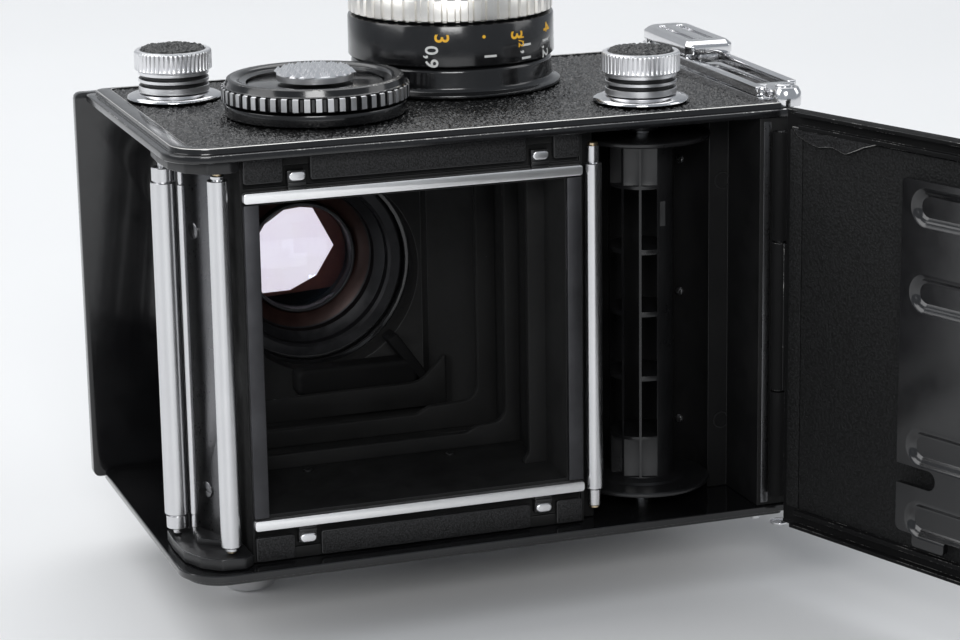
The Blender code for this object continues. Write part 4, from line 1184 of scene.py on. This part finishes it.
def build_clip(tag, sign):
    """Swinging clip: two side rails from the pin, and the slotted block at their end."""
    x0, x1 = LUG_X
    low, mid, high = BLOCK_HEIGHTS[tag]
    rails = []
    for a, b, y_low in ((x0, x0 + 1.7, 6.1), (x1 - 1.7, x1, 9.6)):
        rails.append(prism_bm(rounded(a, b, y_low, 58.8, 0.5, 4), sign * 38.85, sign * 40.5))
        for y in (38.0, 56.4):
            rails.append(prism_bm(rounded(a + 0.1, b - 0.1, y, y + 1.8, 0.5, 4), sign * 39.4,
                                  sign * (low + 0.4)))
    for y in (9.4, 56.6):
        rails.append(prism_bm(rounded(x0 + 0.2, x1 - 0.2, y, y + 1.8, 0.5, 4), sign * 38.9,
                              sign * 40.2))
    sides = []
    for inset in (0.0, 0.8):
        front, end = 36.6 + inset * 1.4, 59.8 - inset
        sides.append(round_poly([
            (x0 + 1.0, front, 0.8), (x1 - 1.0, front, 0.8), (x1 - inset, front + 1.4, 0.8),
            (x1 - inset, end - 1.6, 1.2), (x1 - 1.6 - inset, end, 1.2),
            (x0 + 1.6 + inset, end, 1.2), (x0 + inset, end - 1.6, 1.2),
            (x0 + inset, front + 1.4, 0.8)], 5))
    block = loft_bm([(sides[0], sign * low), (sides[0], sign * mid), (sides[1], sign * high)])
    slots = [prism_bm(rounded(a, a + 1.4, 40.6, 56.6, 0.68, 5), sign * (mid - 0.1), sign * 46.0)
             for a in (x0 + 2.3, x0 + 5.9)]
    tongue = prism_bm(rounded(x0 + 2.6, x1 - 2.6, 37.6, 42.0, 0.8, 4), sign * 39.4,
                      sign * 41.0)
    frame_bm = merge_bm(*rails)
    for shape in [frame_bm, block, tongue] + slots:
        turned(shape, (0.0, CLIP_PIVOT[0], sign * CLIP_PIVOT[1]), sign * CLIP_REST, "X")
    node = "strap_clip_" + tag
    swap(node, frame_bm, [CHROME], bevel=0.2, segments=3)
    piece("clip_block_" + tag, block, [CHROME], on=node, slot="chrome", bevel=0.22, cuts=slots,
          segments=3)
    piece("clip_tongue_" + tag, tongue, [STEEL], on=node, slot="chrome", bevel=0.15)


# ---- everything else, from the CAD shape ----------------------------------------------
PLAIN = (
    # node, material, width of its rounded edges and, where it differs, their material
    ("crank_hub", ENAMEL, 0.3, CHIPPED),
    ("crank_arm", CHROME, 0.4),
    ("crank_handle", CHROME, 0.4),
    ("front_plate", ENAMEL, 0.3, CHIPPED),
    ("lens_board", LEATHER, 0.3, SATIN_BLACK),
    ("aperture_wheel", CHROME, 0.12),
    ("shutter_wheel", CHROME, 0.12),
    ("release_button", CHROME, 0.2),
    ("pressure_spring", STEEL, 0.08),
    ("door_latch", CHROME, 0.2),
    ("hinge_leaf", DEEP_BLACK, 0.12),
    ("hinge_pin", SATIN_BLACK, 0.1),
    ("hood_base", ENAMEL, 0.25, CHIPPED),
    ("hood_lid", ENAMEL, 0.3, CHIPPED),
    ("focusing_screen", SCREEN, 0.15),
    ("mirror", MIRROR, 0.08),
)


# ---- floor, lights and camera ---------------------------------------------------------
CAMERA_AT = (-106.64, -456.55, 131.18)
YAW, PITCH, ROLL = 0.33712, 0.25564, -0.01561
FOCAL_PX, FRAME_W, SENSOR = 2889.76, 960, 36.0


def floor_material():
    mat, tree, shader = new_material("pale_floor", Roughness=0.6)
    where = coords(tree)
    base = tint(tree, spread(tree, cloud(tree, where, 3.0, 2.0), 0.3, 0.7),
                (0.80, 0.80, 0.80), (0.83, 0.83, 0.83))
    wire(tree, shader, Base_Color=base)
    bump(tree, shader, cloud(tree, where, 3000.0), 0.01 * MM, 0.3)
    return mat


def build_stage():
    """A floor that sweeps up far behind the camera body into a plain wall."""
    bm = bmesh.new()
    profile = [(-3.0, 0.0), (1.6, 0.0)]
    for k in range(1, 13):
        a = math.radians(90.0 * k / 12)
        profile.append((1.6 + 0.7 * math.sin(a), 0.7 * (1.0 - math.cos(a))))
    profile.append((2.3, 3.0))
    rows = [[bm.verts.new((x, y, z - 0.0002)) for x in (-4.0, 4.0)] for y, z in profile]
    for a, b in zip(rows, rows[1:]):
        bm.faces.new((a[0], a[1], b[1], b[0]))
    obj = to_object("stage_floor", bm, [floor_material()])
    shade(obj)


def area_light(name, spot, aim, size, power):
    data = bpy.data.lights.new(name, "AREA")
    data.shape = "RECTANGLE"
    data.size, data.size_y = size
    data.energy = power
    obj = bpy.data.objects.new(name, data)
    obj.location = spot
    obj.rotation_euler = (Vector(aim) - Vector(spot)).to_track_quat("-Z", "Y").to_euler()
    bpy.context.scene.collection.objects.link(obj)


def build_lights():
    world = bpy.data.worlds.new("studio")
    world.use_nodes = True
    back = world.node_tree.nodes["Background"]
    back.inputs["Color"].default_value = (0.86, 0.92, 1.0, 1.0)
    back.inputs["Strength"].default_value = 0.40
    bpy.context.scene.world = world
    area_light("soft_top", (0.0, 0.7, 1.4), (0.0, 0.05, 0.0), (1.9, 1.3), 15.5)
    area_light("soft_left", (-1.5, 0.1, 0.9), (-0.1, 0.0, 0.05), (1.2, 1.0), 10.0)
    area_light("soft_right", (1.5, -0.5, 0.8), (0.0, 0.0, 0.05), (0.8, 1.0), 4.5)
    area_light("soft_front", (-0.5, -1.5, 0.8), (0.1, -0.1, 0.0), (0.7, 0.5), 12.0)


def build_camera():
    ahead = Vector((math.sin(YAW) * math.cos(PITCH), math.cos(YAW) * math.cos(PITCH),
                    -math.sin(PITCH)))
    right = Vector((math.cos(YAW), -math.sin(YAW), 0.0))
    up = right.cross(ahead)
    side = right * math.cos(ROLL) + up * math.sin(ROLL)
    top = up * math.cos(ROLL) - right * math.sin(ROLL)
    data = bpy.data.cameras.new("camera")
    data.sensor_width = SENSOR
    data.lens = FOCAL_PX / FRAME_W * SENSOR
    data.clip_start, data.clip_end = 0.01, 20.0
    obj = bpy.data.objects.new("camera", data)
    turn = Matrix((side, top, -ahead)).transposed().to_4x4()
    obj.matrix_world = Matrix.Translation(place(*CAMERA_AT)) @ turn
    bpy.context.scene.collection.objects.link(obj)
    bpy.context.scene.camera = obj


def main():
    build_camera()
    build_stage()
    build_lights()
    for tag, sign in SIDES:
        build_plate(tag, sign)
    for tag, sign in SIDES:
        build_panel(tag, sign)
    build_casting()
    build_tunnel()
    build_gate()
    build_textured_plates()
    build_film_clips()
    build_rollers()
    build_bracket()
    build_spool()
    build_knob("supply_knob", SUPPLY)
    build_knob("takeup_knob", SPOOL)
    build_dial()
    build_focus()
    build_taking_lens()
    build_viewing_lens()
    for tag, sign in SIDES:
        build_lug(tag, sign)
        build_clip(tag, sign)
    build_door()
    for row in PLAIN:
        refine(*row)
    bpy.context.scene.view_settings.view_transform = "Standard"


main()
